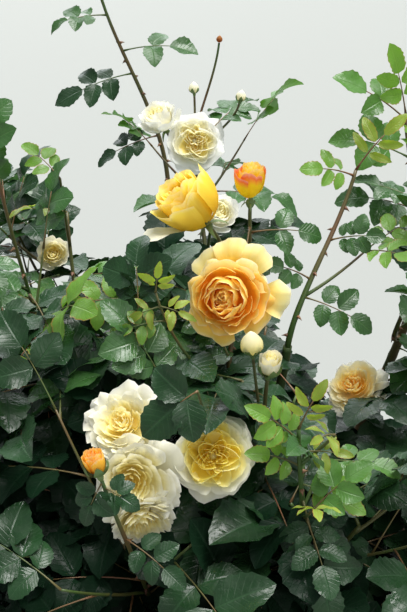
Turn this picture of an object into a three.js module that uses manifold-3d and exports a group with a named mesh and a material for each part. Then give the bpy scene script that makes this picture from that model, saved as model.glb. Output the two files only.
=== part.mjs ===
// A shrub rose in full bloom, about 1.2 m tall and 1 m across, rooted in the ground.
// Millimetres, +Z up, the origin at the middle of the flat cut under the stump, the front along -Y.
// Canes rise from one knotted stump and arch outwards. Leafy shoots stand 0.3 mm clear on the canes:
// each is one solid, a stem that branches by a seeded rule, with its compound leaves and flowers fused on.
import * as THREE from "three";
import { mergeVertices } from "three/addons/utils/BufferGeometryUtils.js";
import Module from "manifold-3d";

const wasm = await Module();
wasm.setup();

// The driving dimensions.
const SEAT_GAP = 0.3;
const STUMP = { flareRadius: 76, neckRadius: 58, flareHeight: 26, height: 62, sides: 11 };
const KNUCKLE = { footRadius: 17, topRadius: 12.5, base: 4, sides: 6 };
const CANE = { footRadius: 9, tipRadius: 4.6, innerRing: 19, outerRing: 46, sides: 6, steps: 5 };
// How a cane bends: the shares of its rise and reach at which it is held upright, then let out.
const CANE_BEND = { upright: 0.38, reach: 0.72, rise: 0.76 };
const FORK = { footRadius: 5.2, tipRadius: 4, finishRise: 0.9 };
const STEM = { footRadius: 3.7, tipRadius: 2.1, sides: 3, steps: 3, finishRise: 0.5 };
// How an offshoot bends: shares of its length over which it keeps its first and last directions.
const OFFSHOOT = { atTip: 0.35, atSide: 0.2, end: 0.35 };
// Side twigs leave the stem between two shares of its length, and vary in length between two more.
const TWIG = {
  radius: 1.9, lean: 1.4, rise: 0.3, share: 0.42, longest: 130, tries: 8,
  first: 0.25, spread: 0.55, least: 0.8, vary: 0.4,
};
const STALK = { first: 0.5, spacing: 0.09, lean: 0.25, steps: 2 };
// A leaf: its rachis and leaflets, where a leaflet is widest, and how it turns to the light.
const LEAF = {
  rachis: 92, rachisRadius: 1.7, rootShare: 0.45, seat: 5, fewest: 4, tries: 12,
  leaflet: 62, breadth: 0.78, widest: 0.46, thickness: 2.2, sag: 0.07,
  outward: 0.55, outwardVary: 0.4, tilt: 0.5, lean: 1.5, tipLean: 0.2,
};
const LEAVES_ON_STEM = { last: 0.75, span: 0.5 };
const LARGE_LEAF = 1.45;
const LEAF_PAIRS = [
  { at: 0.4, size: 0.8 },
  { at: 0.72, size: 0.92 },
];
const PAIR_ANGLE = 1.2;
const GOLDEN_ANGLE = 2.39996;
const SPACE_LAP = 45;
const GUARD = 0.5;
const ROOT_CLEARANCE = 5;

// Canes: the tip of each, and the bearing of its foot on the stump in degrees from +X.
const CANES = [
  { name: "cane_centre", ring: "inner", bearing: 240, tip: [16, -112, 815] },
  { name: "cane_centre_right", ring: "inner", bearing: 322, tip: [86, -160, 890] },
  { name: "cane_back_tall", ring: "inner", bearing: 142, tip: [-46, 262, 908] },
  { name: "cane_back_centre", ring: "inner", bearing: 58, tip: [6, 158, 800] },
  { name: "cane_front", ring: "outer", bearing: 268, tip: [14, -214, 785] },
  { name: "cane_front_left", ring: "outer", bearing: 236, tip: [-92, -238, 700] },
  { name: "cane_left", ring: "outer", bearing: 200, tip: [-172, -92, 800] },
  { name: "cane_back_left", ring: "outer", bearing: 150, tip: [-205, 140, 720] },
  { name: "cane_back", ring: "outer", bearing: 96, tip: [-20, 285, 600] },
  { name: "cane_back_right", ring: "outer", bearing: 45, tip: [190, 190, 560] },
  { name: "cane_right", ring: "outer", bearing: 355, tip: [236, -30, 880] },
  { name: "cane_front_right", ring: "outer", bearing: 302, tip: [92, -300, 740] },
];
const FORKS = [
  { name: "fork_left", from: "cane_left", at: 0.42, tip: [-285, -55, 560] },
  { name: "fork_right", from: "cane_right", at: 0.45, tip: [300, -95, 580] },
];

// Shoots that the photograph shows, each on the tip or side of a cane, with the flowers it holds.
const SHOOTS = [
  {
    name: "shoot_golden_bloom", on: "cane_front", at: 1, twigs: 2,
    flowers: [{ kind: "rosette", centre: [27, -222, 979], facing: [-0.15, -0.93, 0.33], size: 100 }],
  },
  {
    name: "shoot_half_open", on: "cane_centre", at: 1, twigs: 2,
    flowers: [{ kind: "cup", centre: [-16, -147, 1041], facing: [-0.55, -0.45, 0.7], size: 70 }],
  },
  {
    name: "shoot_opening_bud", on: "cane_centre", at: 0.88, twigs: 1,
    flowers: [{ kind: "opening", centre: [46, -157, 1067], facing: [0.02, -0.12, 0.99], size: 36 }],
  },
  {
    name: "shoot_white_cluster", on: "cane_back_centre", at: 1, twigs: 3,
    flowers: [
      { kind: "rosette", centre: [-11, 215, 989], facing: [0.05, -0.86, 0.5], size: 72 },
      { kind: "cup", centre: [-56, 228, 1016], facing: [-0.35, -0.35, 0.87], size: 46 },
      { kind: "bud", centre: [-12, 243, 1049], facing: [-0.05, 0.05, 1], size: 13 },
      { kind: "bud", centre: [47, 238, 1040], facing: [0.2, 0.05, 0.98], size: 13 },
      { kind: "bud", centre: [20, 270, 1104], facing: [0.1, 0.1, 0.99], size: 9 },
    ],
  },
  {
    name: "shoot_faded_middle", on: "cane_back_centre", at: 0.86, twigs: 1,
    flowers: [{ kind: "cup", centre: [19, 108, 934], facing: [0.25, -0.7, 0.66], size: 50 }],
  },
  {
    name: "shoot_tall", on: "cane_back_tall", at: 1, twigs: 0,
    tip: [-134, 290, 1175], setLeaves: "tall", leafSize: 0.85,
  },
  {
    name: "shoot_right_cane", on: "cane_centre_right", at: 1, twigs: 1,
    tip: [154, -98, 1058], setLeaves: "right", leafSize: 0.75,
  },
  {
    name: "shoot_top_right", on: "cane_right", at: 1, twigs: 1,
    tip: [214, -14, 1092], setLeaves: "top_right", leafSize: 0.8,
  },
  { name: "shoot_left_mid", on: "cane_left", at: 1, twigs: 2, tip: [-176, -150, 950] },
  { name: "shoot_left_edge", on: "cane_left", at: 0.84, twigs: 1, tip: [-214, -70, 1050], leafSize: 0.9 },
  { name: "shoot_young_left", on: "cane_left", at: 0.93, twigs: 1, tip: [-150, -6, 1010], leafSize: 0.8 },
  { name: "shoot_left_front", on: "cane_front_left", at: 0.9, twigs: 2, tip: [-150, -200, 918] },
  { name: "shoot_centre_left", on: "cane_centre", at: 0.74, twigs: 2, tip: [-70, -165, 945] },
  {
    name: "shoot_pale_bloom", on: "cane_back_left", at: 1, twigs: 2,
    flowers: [{ kind: "cup", centre: [-175, 50, 905], facing: [0.1, -0.6, 0.35], size: 42 }],
  },
  {
    name: "shoot_cream_cluster", on: "cane_front_left", at: 1, twigs: 1,
    flowers: [
      { kind: "rosette", centre: [-56, -336, 850], facing: [-0.32, -0.9, 0.1], size: 92 },
      { kind: "cup", centre: [-82, -290, 890], facing: [-0.5, -0.55, 0.62], size: 78 },
      { kind: "cup", centre: [-40, -350, 803], facing: [0.1, -0.72, -0.6], size: 56 },
    ],
  },
  {
    name: "shoot_orange_bud", on: "cane_front_left", at: 0.8, twigs: 1,
    flowers: [{ kind: "bud", centre: [-94, -384, 890], facing: [-0.25, -0.1, 0.96], size: 20 }],
  },
  {
    name: "shoot_quartered", on: "cane_front", at: 0.88, twigs: 1,
    flowers: [{ kind: "rosette", centre: [9, -302, 834], facing: [0.06, -0.97, 0.22], size: 80 }],
  },
  {
    name: "shoot_cream_buds", on: "cane_front_right", at: 0.9, twigs: 1,
    flowers: [
      { kind: "opening", centre: [62, -276, 930], facing: [0.1, -0.3, 0.95], size: 26 },
      { kind: "bud", centre: [45, -262, 944], facing: [-0.1, 0, 0.99], size: 22 },
    ],
  },
  {
    name: "shoot_young_right", on: "cane_front_right", at: 1, twigs: 2,
    tip: [84, -352, 905], setLeaves: "young_right", leafSize: 0.75,
  },
  {
    name: "shoot_faded_right", on: "cane_right", at: 0.86, twigs: 1,
    flowers: [{ kind: "cup", centre: [166, -112, 815], facing: [-0.2, -0.55, 0.5], size: 66 }],
  },
  { name: "shoot_right_mid", on: "cane_right", at: 0.93, twigs: 2, tip: [222, -120, 965] },
  { name: "shoot_right_low", on: "cane_front_right", at: 0.78, twigs: 2, tip: [178, -280, 800] },
];

// Leaves that the photograph shows one by one: where they leave the stem and the way they point.
const SET_LEAVES = {
  tall: [
    { at: 0.22, toward: [-0.95, -0.1, -0.05] },
    { at: 0.42, toward: [0.75, -0.25, 0.6] },
    { at: 0.52, toward: [-0.95, -0.15, 0.15] },
    { at: 0.78, toward: [-0.85, 0.2, 0.3] },
    { at: 0.84, toward: [0.85, -0.2, 0.45] },
    { at: 1, toward: [-0.3, -0.1, 0.95] },
  ],
  right: [
    { at: 0.4, toward: [-0.75, -0.2, 0.6] },
    { at: 0.3, toward: [0.9, -0.35, -0.1] },
    { at: 0.62, toward: [0.85, -0.2, 0.35] },
    { at: 0.97, toward: [-0.7, -0.3, 0.4] },
    { at: 1, toward: [0.5, 0, 0.85] },
  ],
  top_right: [
    { at: 0.5, toward: [-0.85, -0.15, 0.45] },
    { at: 0.75, toward: [0.7, -0.5, 0.4] },
    { at: 1, toward: [-0.2, -0.1, 0.95] },
  ],
  young_right: [
    { at: 0.72, toward: [-0.6, -0.3, 0.7] },
    { at: 0.5, toward: [0.6, -0.5, -0.55] },
    { at: 1, toward: [0.75, -0.1, 0.6] },
  ],
};

// The rest of the crown: rings of shoots, widest below the middle, lower where the bush falls away
// behind on the right. A ring's shoot is left out where a named one fills that place.
const RINGS = [
  { height: 260, reach: 255, count: 6, phase: 0.2, twigs: 1, leaves: 2 },
  { height: 440, reach: 335, count: 7, phase: 0.55, twigs: 1, leaves: 2 },
  { height: 640, reach: 320, count: 8, phase: 0.15, twigs: 2, leaves: 1 },
  { height: 820, reach: 190, count: 5, phase: 1.25, twigs: 1, leaves: 2 },
];
// The crown's outline: the reach at each height.
const CROWN = [[60, 330], [180, 450], [450, 520], [650, 505], [820, 455], [950, 410], [1100, 400], [1350, 390]];
const LOW_SIDE = { bearing: 0.85, drop: 0.2 };
const RING_ROOM = 120;
const RING_DRAW = { turn: 0.3, least: 0.94, vary: 0.12 };
const SEAT = { first: 2, steps: 30, room: 28, below: 60 };
// Every few shoots of a ring ends in a flower, as on the side that shows.
const RING_FLOWERS = [
  { ring: 1, number: 2, kind: "rosette", size: 84 },
  { ring: 1, number: 4, kind: "cup", size: 64 },
  { ring: 2, number: 0, kind: "rosette", size: 82 },
  { ring: 2, number: 2, kind: "cup", size: 62 },
  { ring: 2, number: 3, kind: "rosette", size: 88 },
  { ring: 2, number: 4, kind: "opening", size: 34 },
];

// The plain colours.
const OLD_WOOD = { color: 0x6d5a44, roughness: 0.9, metalness: 0 };
const GREEN_CANE = { color: 0x55662f, roughness: 0.6, metalness: 0 };
const DARK_LEAF = { color: 0x2d4a2c, roughness: 0.45, metalness: 0 };
const YOUNG_LEAF = { color: 0x7d9a3a, roughness: 0.45, metalness: 0 };
const YOUNG_SHOOTS = ["shoot_young_left", "shoot_young_right"];

// Where the numbered draws start for set leaves, stem leaves and rings, and the seeds of ring shoots.
const SET_DRAWS = 50;
const STEM_DRAWS = 70;
const RING_DRAWS = 90;
const RING_SEEDS = 100;

const vector = (values) => new THREE.Vector3(...values);
const UP = vector([0, 0, 1]);

// A stream of numbers from 0 to 1 that is the same each time for the same item.
function drawsFor(...item) {
  const prime = 2147483647;
  let state = item.reduce((sum, part) => (sum * 613 + part * 7919 + 17) % prime, 1);
  const draw = () => {
    state = (state * 48271) % prime;
    return state / prime;
  };
  draw();
  draw();
  return draw;
}

// Two unit vectors across a direction, the first as near as can be to a given level one.
function across(direction, near) {
  const level = near.clone().addScaledVector(direction, -near.dot(direction)).normalize();
  return { level, lift: new THREE.Vector3().crossVectors(direction, level).normalize() };
}

// A level unit vector square to a heading.
function levelAcross(heading) {
  const level = new THREE.Vector3().crossVectors(UP, heading);
  return level.length() > 1e-3 ? level.normalize() : level.set(1, 0, 0);
}

// The unit vector that leaves a direction sideways at an angle round it.
function aside(direction, angle) {
  const { level, lift } = across(direction, levelAcross(direction));
  return level.multiplyScalar(Math.cos(angle)).addScaledVector(lift, Math.sin(angle));
}

// A curve's cross directions at a share of its length: they turn with it and don't twist.
function frameAt(curve, at) {
  const heading = curve.getPoint(1).sub(curve.getPoint(0));
  return across(curve.getTangent(at), levelAcross(heading));
}

// The point at a share of a curve, on the straight pieces that its limb is made of.
function pointOn(curve, at, steps) {
  const piece = Math.min(steps - 1, Math.floor(at * steps));
  const start = curve.getPoint(piece / steps);
  return start.lerp(curve.getPoint((piece + 1) / steps), at * steps - piece);
}

// A closed three.js geometry as a manifold-3d solid.
function solid(geometry) {
  geometry.deleteAttribute("normal");
  geometry.deleteAttribute("uv");
  const merged = mergeVertices(geometry, 1e-4);
  return new wasm.Manifold(
    new wasm.Mesh({
      numProp: 3,
      vertProperties: merged.attributes.position.array,
      triVerts: new Uint32Array(merged.index.array),
    }),
  );
}

// Solids fused into one body: hollows that the fusing seals are filled.
function joined(pieces) {
  const bodies = wasm.Manifold.union(pieces).decompose();
  return bodies.reduce((best, body) => (body.volume() > best.volume() ? body : best));
}

// Triangles, each three points, as a solid.
function closed(triangles) {
  const geometry = new THREE.BufferGeometry();
  geometry.setFromPoints(triangles.flat());
  return solid(geometry);
}

// The triangles that fill a ring of points, from its first point or round one in the middle.
function fill(ring, from = ring[0]) {
  const fan = ring.map((point, i) => [from, point, ring[(i + 1) % ring.length]]);
  return fan.filter(([, b, c]) => b !== from && c !== from);
}

// A tapering round limb: rings of points carried along a curve.
function limb(curve, footRadius, tipRadius, sides, steps) {
  const rings = [];
  for (let step = 0; step <= steps; step++) {
    const along = step / steps;
    const { level, lift } = frameAt(curve, along);
    const radius = THREE.MathUtils.lerp(footRadius, tipRadius, along);
    const ring = [];
    for (let side = 0; side < sides; side++) {
      const angle = (2 * Math.PI * side) / sides;
      const middle = curve.getPoint(along).addScaledVector(level, radius * Math.cos(angle));
      ring.push(middle.addScaledVector(lift, radius * Math.sin(angle)));
    }
    rings.push(ring);
  }
  const triangles = [...fill(rings[0].slice().reverse()), ...fill(rings[steps])];
  for (let step = 0; step < steps; step++)
    for (let side = 0; side < sides; side++) {
      const next = (side + 1) % sides;
      const [near, far] = [rings[step], rings[step + 1]];
      triangles.push(...fill([near[side], near[next], far[next], far[side]]));
    }
  return closed(triangles);
}

// The room that a leaflet needs: a flattened octahedron from its root, widest before its middle.
function blade(root, direction, normal, length, breadth) {
  const geometry = new THREE.OctahedronGeometry(1);
  const place = geometry.attributes.position;
  const side = new THREE.Vector3().crossVectors(normal, direction).normalize();
  for (let i = 0; i < place.count; i++) {
    const [x, y, z] = [place.getX(i), place.getY(i), place.getZ(i)];
    const along = x > 0.5 ? length : x < -0.5 ? 0 : LEAF.widest * length;
    const flat = Math.abs(z) < 0.5 && x > -0.5;
    const height = z * (LEAF.thickness / 2 + GUARD) - (flat ? LEAF.sag * length : 0);
    const spot = root.clone().addScaledVector(direction, along);
    spot.addScaledVector(side, (y * breadth) / 2).addScaledVector(normal, height);
    place.setXYZ(i, spot.x, spot.y, spot.z);
  }
  return solid(geometry);
}

// A turned shape on a point, its profile given as radius and height in shares of a size. Its rim, the
// part beyond LOBED_FROM, is cut into lobes: every other ring point stands back.
const LOBED_FROM = 0.38;
function turned(centre, facing, { profile, sides, lobes = 0 }, size) {
  const points = profile.map(([radius, height]) => new THREE.Vector2(radius * size, height * size));
  const geometry = new THREE.LatheGeometry(points, sides);
  const place = geometry.attributes.position;
  for (let i = 0; i < place.count; i++) {
    const [x, z] = [place.getX(i), place.getZ(i)];
    const wide = Math.hypot(x, z) > LOBED_FROM * size;
    const share = wide ? 1 - lobes * (0.5 + 0.5 * Math.cos((sides / 2) * Math.atan2(x, z))) : 1;
    place.setXYZ(i, x * share, place.getY(i), z * share);
  }
  geometry.rotateX(Math.PI / 2);
  geometry.applyQuaternion(new THREE.Quaternion().setFromUnitVectors(UP, facing));
  geometry.translate(centre.x, centre.y, centre.z);
  return solid(geometry);
}

// Flowers: a calyx, outer petals and the cup inside them, as one turned shape. Heights are counted
// from the centre, and base is how far below it the stem ends.
const FLOWERS = {
  rosette: {
    sides: 10,
    lobes: 0.12,
    base: 0.3,
    profile: [[0, -0.34], [0.07, -0.29], [0.3, -0.16], [0.53, 0.02], [0.4, 0.05], [0.33, 0.14], [0, 0.04]],
  },
  cup: {
    sides: 8,
    lobes: 0.16,
    base: 0.42,
    profile: [[0, -0.48], [0.08, -0.4], [0.34, -0.24], [0.5, 0.2], [0.3, 0.32], [0, 0.2]],
  },
  opening: {
    sides: 7,
    base: 0.6,
    profile: [[0, -0.66], [0.17, -0.5], [0.46, -0.1], [0.44, 0.22], [0.26, 0.55], [0, 0.47]],
  },
  bud: {
    sides: 5,
    base: 0.6,
    profile: [[0, -0.68], [0.22, -0.48], [0.45, -0.1], [0.28, 0.36], [0, 0.66]],
  },
};

const flower = ({ kind, centre, facing, size }) => turned(centre, facing, FLOWERS[kind], size);

// A cane, upright at its foot on the stump and leaning out towards its tip.
function caneCurve({ ring, bearing, tip }) {
  const ringRadius = ring === "inner" ? CANE.innerRing : CANE.outerRing;
  const angle = THREE.MathUtils.degToRad(bearing);
  const foot = vector([ringRadius * Math.cos(angle), ringRadius * Math.sin(angle), STUMP.height + SEAT_GAP]);
  const end = vector(tip);
  const rise = end.z - foot.z;
  const lower = foot.clone().addScaledVector(UP, CANE_BEND.upright * rise);
  const upper = foot.clone().lerp(end, CANE_BEND.reach);
  upper.z = foot.z + CANE_BEND.rise * rise;
  return new THREE.CubicBezierCurve3(foot, lower, upper, end);
}

// The foot of a limb that another carries: 0.3 mm off its tip, or off the middle of the flat side
// that faces the way it grows.
function footOn(carrier, at, end) {
  const middle = pointOn(carrier.curve, at, CANE.steps);
  if (at === 1) {
    const away = carrier.curve.getTangent(1);
    return { away, foot: middle.addScaledVector(away, SEAT_GAP) };
  }
  const { level, lift } = frameAt(carrier.curve, at);
  const heading = end.clone().sub(middle);
  const turn = (2 * Math.PI) / CANE.sides;
  const angle = Math.atan2(heading.dot(lift), heading.dot(level));
  const snapped = (Math.floor(angle / turn) + 0.5) * turn;
  const away = level.multiplyScalar(Math.cos(snapped)).addScaledVector(lift, Math.sin(snapped));
  const girth = THREE.MathUtils.lerp(carrier.footRadius, carrier.tipRadius, at) * Math.cos(turn / 2);
  return { away, foot: middle.addScaledVector(away, girth + SEAT_GAP) };
}

// A curve from a carrying limb to an end that it reaches in a given direction.
function offshoot(carrier, at, end, finish) {
  const { away, foot } = footOn(carrier, at, end);
  const length = foot.distanceTo(end);
  const lower = foot.clone().addScaledVector(away, (at === 1 ? OFFSHOOT.atTip : OFFSHOOT.atSide) * length);
  const upper = end.clone().addScaledVector(finish, -OFFSHOOT.end * length);
  return new THREE.CubicBezierCurve3(foot, lower, upper, end);
}

// The stump: a flared foot with a flat cut under it, and a knuckle of old wood under each cane.
function stump(canes) {
  const { flareRadius, neckRadius, flareHeight, height, sides } = STUMP;
  const profile = [
    [0, 0],
    [flareRadius, 0],
    [neckRadius, flareHeight],
    [0.86 * neckRadius, 0.8 * height],
    [0, 0.86 * height],
  ].map(([radius, level]) => new THREE.Vector2(radius, level));
  const body = new THREE.LatheGeometry(profile, sides);
  body.rotateX(Math.PI / 2);
  const parts = [solid(body)];
  for (const { curve } of canes) {
    const knuckleHeight = height - KNUCKLE.base;
    const { topRadius, footRadius } = KNUCKLE;
    const knuckle = new THREE.CylinderGeometry(topRadius, footRadius, knuckleHeight, KNUCKLE.sides);
    knuckle.rotateX(Math.PI / 2);
    knuckle.translate(curve.v0.x, curve.v0.y, height - knuckleHeight / 2);
    parts.push(solid(knuckle));
  }
  return joined(parts);
}

const canes = CANES.map((row) => ({ ...row, ...CANE, curve: caneCurve(row) }));
const limbs = new Map(canes.map((cane) => [cane.name, cane]));
for (const row of FORKS) {
  const end = vector(row.tip);
  const finish = vector([end.x, end.y, FORK.finishRise * Math.hypot(end.x, end.y)]).normalize();
  limbs.set(row.name, { ...row, ...FORK, curve: offshoot(limbs.get(row.from), row.at, end, finish) });
}

// A ring's shoot sits on the nearest limb below its tip, away from those already placed.
function seatFor(tip, taken) {
  let best = null;
  for (const carrier of limbs.values())
    for (let step = SEAT.first; step <= SEAT.steps; step++) {
      const at = step / SEAT.steps;
      const spot = pointOn(carrier.curve, at, CANE.steps);
      const crowded = taken.some((other) => other.distanceTo(spot) < SEAT.room);
      if (crowded || spot.z > tip.z - SEAT.below) continue;
      const cost = spot.distanceTo(tip);
      if (!best || cost < best.cost) best = { cost, on: carrier.name, at, spot };
    }
  return best;
}

function planShoots() {
  const taken = SHOOTS.map(({ on, at }) => pointOn(limbs.get(on).curve, at, CANE.steps));
  const planned = SHOOTS.map((row, number) => ({ leaves: 2, leafSize: 1, ...row, seed: number + 1 }));
  const filled = planned.map((row) => vector(row.flowers ? row.flowers[0].centre : row.tip));
  RINGS.forEach((ring, ringNumber) => {
    for (let number = 0; number < ring.count; number++) {
      const draw = drawsFor(RING_DRAWS + ringNumber, number);
      const angle = ring.phase + (2 * Math.PI * (number + RING_DRAW.turn * (draw() - 0.5))) / ring.count;
      const drop = 1 - LOW_SIDE.drop * Math.max(0, Math.cos(angle - LOW_SIDE.bearing));
      const reach = ring.reach * (RING_DRAW.least + RING_DRAW.vary * draw());
      const tip = vector([reach * Math.cos(angle), reach * Math.sin(angle), ring.height * drop]);
      if (filled.some((other) => other.distanceTo(tip) < RING_ROOM)) continue;
      const seat = seatFor(tip, taken);
      taken.push(seat.spot);
      filled.push(tip);
      const blossom = RING_FLOWERS.find((row) => row.ring === ringNumber && row.number === number);
      const facing = vector([Math.cos(angle), Math.sin(angle), 0.5 + 0.3 * ringNumber]).normalize();
      planned.push({
        name: `shoot_ring_${ringNumber + 1}_${number + 1}`,
        on: seat.on,
        at: seat.at,
        twigs: ring.twigs,
        leaves: ring.leaves,
        seed: RING_SEEDS + 10 * ringNumber + number,
        leafSize: LARGE_LEAF,
        tip: tip.toArray(),
        flowers: blossom && [{ ...blossom, centre: tip.toArray(), facing: facing.toArray() }],
      });
    }
  });
  return planned;
}

// The stem of a shoot ends at its first flower's calyx, or at its tip.
function withStem(shoot) {
  const flowers = (shoot.flowers || []).map((row) => {
    const facing = vector(row.facing).normalize();
    const centre = vector(row.centre);
      const calyx = centre.clone().addScaledVector(facing, -FLOWERS[row.kind].base * row.size);
    return { ...row, facing, centre, calyx };
  });
  const carrier = limbs.get(shoot.on);
  const end = flowers.length ? flowers[0].calyx : vector(shoot.tip);
  const heading = end.clone().sub(carrier.curve.getPoint(shoot.at)).normalize();
  const finish = flowers.length ? flowers[0].facing : heading.addScaledVector(UP, STEM.finishRise).normalize();
  const curve = offshoot(carrier, shoot.at, end, finish);
  return { ...shoot, flowers, curve, axis: curve.getPoints(STEM.steps) };
}

const shoots = planShoots().map(withStem);

const stemOf = ({ curve }) => limb(curve, STEM.footRadius, STEM.tipRadius, STEM.sides, STEM.steps);

// How far a point is from the stem of a shoot.
const span = new THREE.Line3();
const nearest = new THREE.Vector3();
function stemDistance(point, { axis }) {
  let least = Infinity;
  for (let i = 1; i < axis.length; i++) {
    span.set(axis[i - 1], axis[i]).closestPointToPoint(point, true, nearest);
    least = Math.min(least, nearest.distanceTo(point));
  }
  return least;
}

// How far from the middle the crown reaches at a height.
function crownReach(height) {
  const next = CROWN.findIndex(([level]) => level > height);
  if (next < 1) return 0;
  const [[low, from], [high, to]] = [CROWN[next - 1], CROWN[next]];
  return THREE.MathUtils.mapLinear(height, low, high, from, to);
}

// A shoot's own space is inside the crown, and reaches a little past halfway to the next stem.
function inOwnSpace(points, shoot) {
  return points.every((point) => {
    if (Math.hypot(point.x, point.y) > crownReach(point.z)) return false;
    const own = stemDistance(point, shoot) - SPACE_LAP;
    return shoots.every((other) => other === shoot || stemDistance(point, other) > own);
  });
}

// Whether a solid meets any of those in a list. Boxes that lie apart are told first.
function meets(piece, others) {
  const box = piece.boundingBox();
  return others.some((other) => {
    const apart = [0, 1, 2].some((i) => box.min[i] > other.box.max[i] || box.max[i] < other.box.min[i]);
    return !apart && !piece.intersect(other.piece).isEmpty();
  });
}

const boxed = (piece) => ({ piece, box: piece.boundingBox() });
const limbSolids = [...limbs.values()].map(({ name, curve, footRadius, tipRadius }) =>
  ({ name, ...boxed(limb(curve, footRadius, tipRadius, CANE.sides, CANE.steps)) }));
const placed = [];

// Whether a leaflet can grow: inside the shoot's space, and clear of limbs, of other shoots and of
// the shoot's own earlier leaves.
function hasRoom(shoot, own, root, direction, normal, length) {
  const breadth = LEAF.breadth * length;
  const side = new THREE.Vector3().crossVectors(normal, direction).setLength(breadth / 2);
  const middle = root.clone().addScaledVector(direction, LEAF.widest * length);
  const tip = root.clone().addScaledVector(direction, length);
  if (!inOwnSpace([middle.clone().add(side), middle.clone().sub(side), tip], shoot)) return false;
  const clear = root.clone().addScaledVector(direction, ROOT_CLEARANCE);
  const guard = blade(clear, direction, normal, length - ROOT_CLEARANCE + GUARD, breadth + 2 * GUARD);
  return !meets(guard, limbSolids) && !meets(guard, placed) && !meets(guard, own);
}

// A compound leaf as one closed surface: a four-sided rachis, two pairs of leaflets on its sides and
// one at its end, all facing the light. It grows from a spot on the stem, at the end of a twig if
// that has a length. A leaflet with no room is left out.
function compoundLeaf(shoot, own, foot, toward, size, draw, twig = 0) {
  const forward = toward.clone().normalize();
  const spot = foot.clone().addScaledVector(forward, twig);
  const outward = vector([spot.x, spot.y, 0]).normalize();
  const light = UP.clone().addScaledVector(outward, LEAF.outward + LEAF.outwardVary * draw());
  light.addScaledVector(aside(forward, 0), LEAF.tilt * (draw() - 0.5));
  const side = new THREE.Vector3().crossVectors(forward, light).normalize();
  const normal = new THREE.Vector3().crossVectors(side, forward);
  const end = spot.clone().addScaledVector(forward, LEAF.rachis * size);
  if (!inOwnSpace([spot.clone().lerp(end, 0.6), end], shoot)) return [];
  const check = limb(new THREE.LineCurve3(foot, end), LEAF.rachisRadius, LEAF.rachisRadius, STEM.sides, 1);
  if (meets(check, limbSolids) || meets(check, placed)) return [];

  const station = (distance, share = 1) => {
    const middle = spot.clone().addScaledVector(forward, distance);
    const off = (way, sign) => middle.clone().addScaledVector(way, sign * share * LEAF.rachisRadius);
    return { middle, sides: [off(side, 1), off(side, -1)], top: off(normal, 1), bottom: off(normal, -1) };
  };
  const outline = (root, way, length) => {
    const over = new THREE.Vector3().crossVectors(way, normal).setLength((LEAF.breadth * length) / 2);
    const middle = root.clone().addScaledVector(way, LEAF.widest * length);
    const sag = normal.clone().multiplyScalar(-LEAF.sag * length);
    const tip = root.clone().addScaledVector(way, length).add(sag);
    const edges = [middle.clone().add(over).add(sag), tip, middle.clone().sub(over).add(sag)];
    return { edges, crest: middle.addScaledVector(normal, LEAF.thickness / 2) };
  };

  const triangles = [];
  let count = 0;
  const first = station(-twig, LEAF.rootShare);
  triangles.push(...fill([first.sides[0], first.top, first.sides[1], first.bottom]));
  const joints = [first];
  for (const { at } of LEAF_PAIRS)
    joints.push(station(at * LEAF.rachis * size), station(at * LEAF.rachis * size + LEAF.seat));
  joints.push(station(LEAF.rachis * size));
  for (let i = 0; i + 1 < joints.length; i++) {
    const [near, far] = [joints[i], joints[i + 1]];
    const pair = i % 2 ? LEAF_PAIRS[(i - 1) / 2] : null;
    for (const [hand, sign] of [[0, 1], [1, -1]]) {
      const turn = sign > 0 ? (ring) => ring : (ring) => ring.slice().reverse();
      const [a, b] = [near.sides[hand], far.sides[hand]];
      const way = forward.clone().multiplyScalar(Math.cos(PAIR_ANGLE));
      way.addScaledVector(side, sign * Math.sin(PAIR_ANGLE));
      const root = near.middle.clone().lerp(far.middle, 0.5);
      const length = pair && pair.size * LEAF.leaflet * size;
      if (pair && hasRoom(shoot, own, root, way, normal, length)) {
        const { edges, crest } = outline(root, way, length);
        const [back, tip, front] = sign > 0 ? [edges[0], edges[1], edges[2]] : [edges[2], edges[1], edges[0]];
        triangles.push(...fill(turn([near.top, a, back, tip, front, b, far.top]), crest));
        triangles.push(...fill(turn([tip, back, a, near.bottom, far.bottom, b, front])));
        count++;
      } else {
        triangles.push(...fill(turn([near.top, a, b, far.top])));
        triangles.push(...fill(turn([far.bottom, b, a, near.bottom])));
      }
    }
  }
  const last = joints[joints.length - 1];
  if (hasRoom(shoot, own, end, forward, normal, LEAF.leaflet * size)) {
    const { edges, crest } = outline(end, forward, LEAF.leaflet * size);
    triangles.push(...fill([last.top, last.sides[0], ...edges, last.sides[1]], crest));
    triangles.push(...fill([edges[1], edges[0], last.sides[0], last.bottom, last.sides[1], edges[2]]));
    count++;
  } else triangles.push(...fill([last.sides[1], last.top, last.sides[0], last.bottom]));
  return count >= LEAF.fewest ? [closed(triangles)] : [];
}

// The way a twig leaves a stem at a share of its length, sideways and a little up.
function twigWay(stem, at, angle) {
  const tangent = stem.getTangent(at);
  const way = tangent.clone().addScaledVector(aside(tangent, angle), TWIG.lean).normalize();
  return way.addScaledVector(UP, TWIG.rise).normalize();
}

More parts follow.
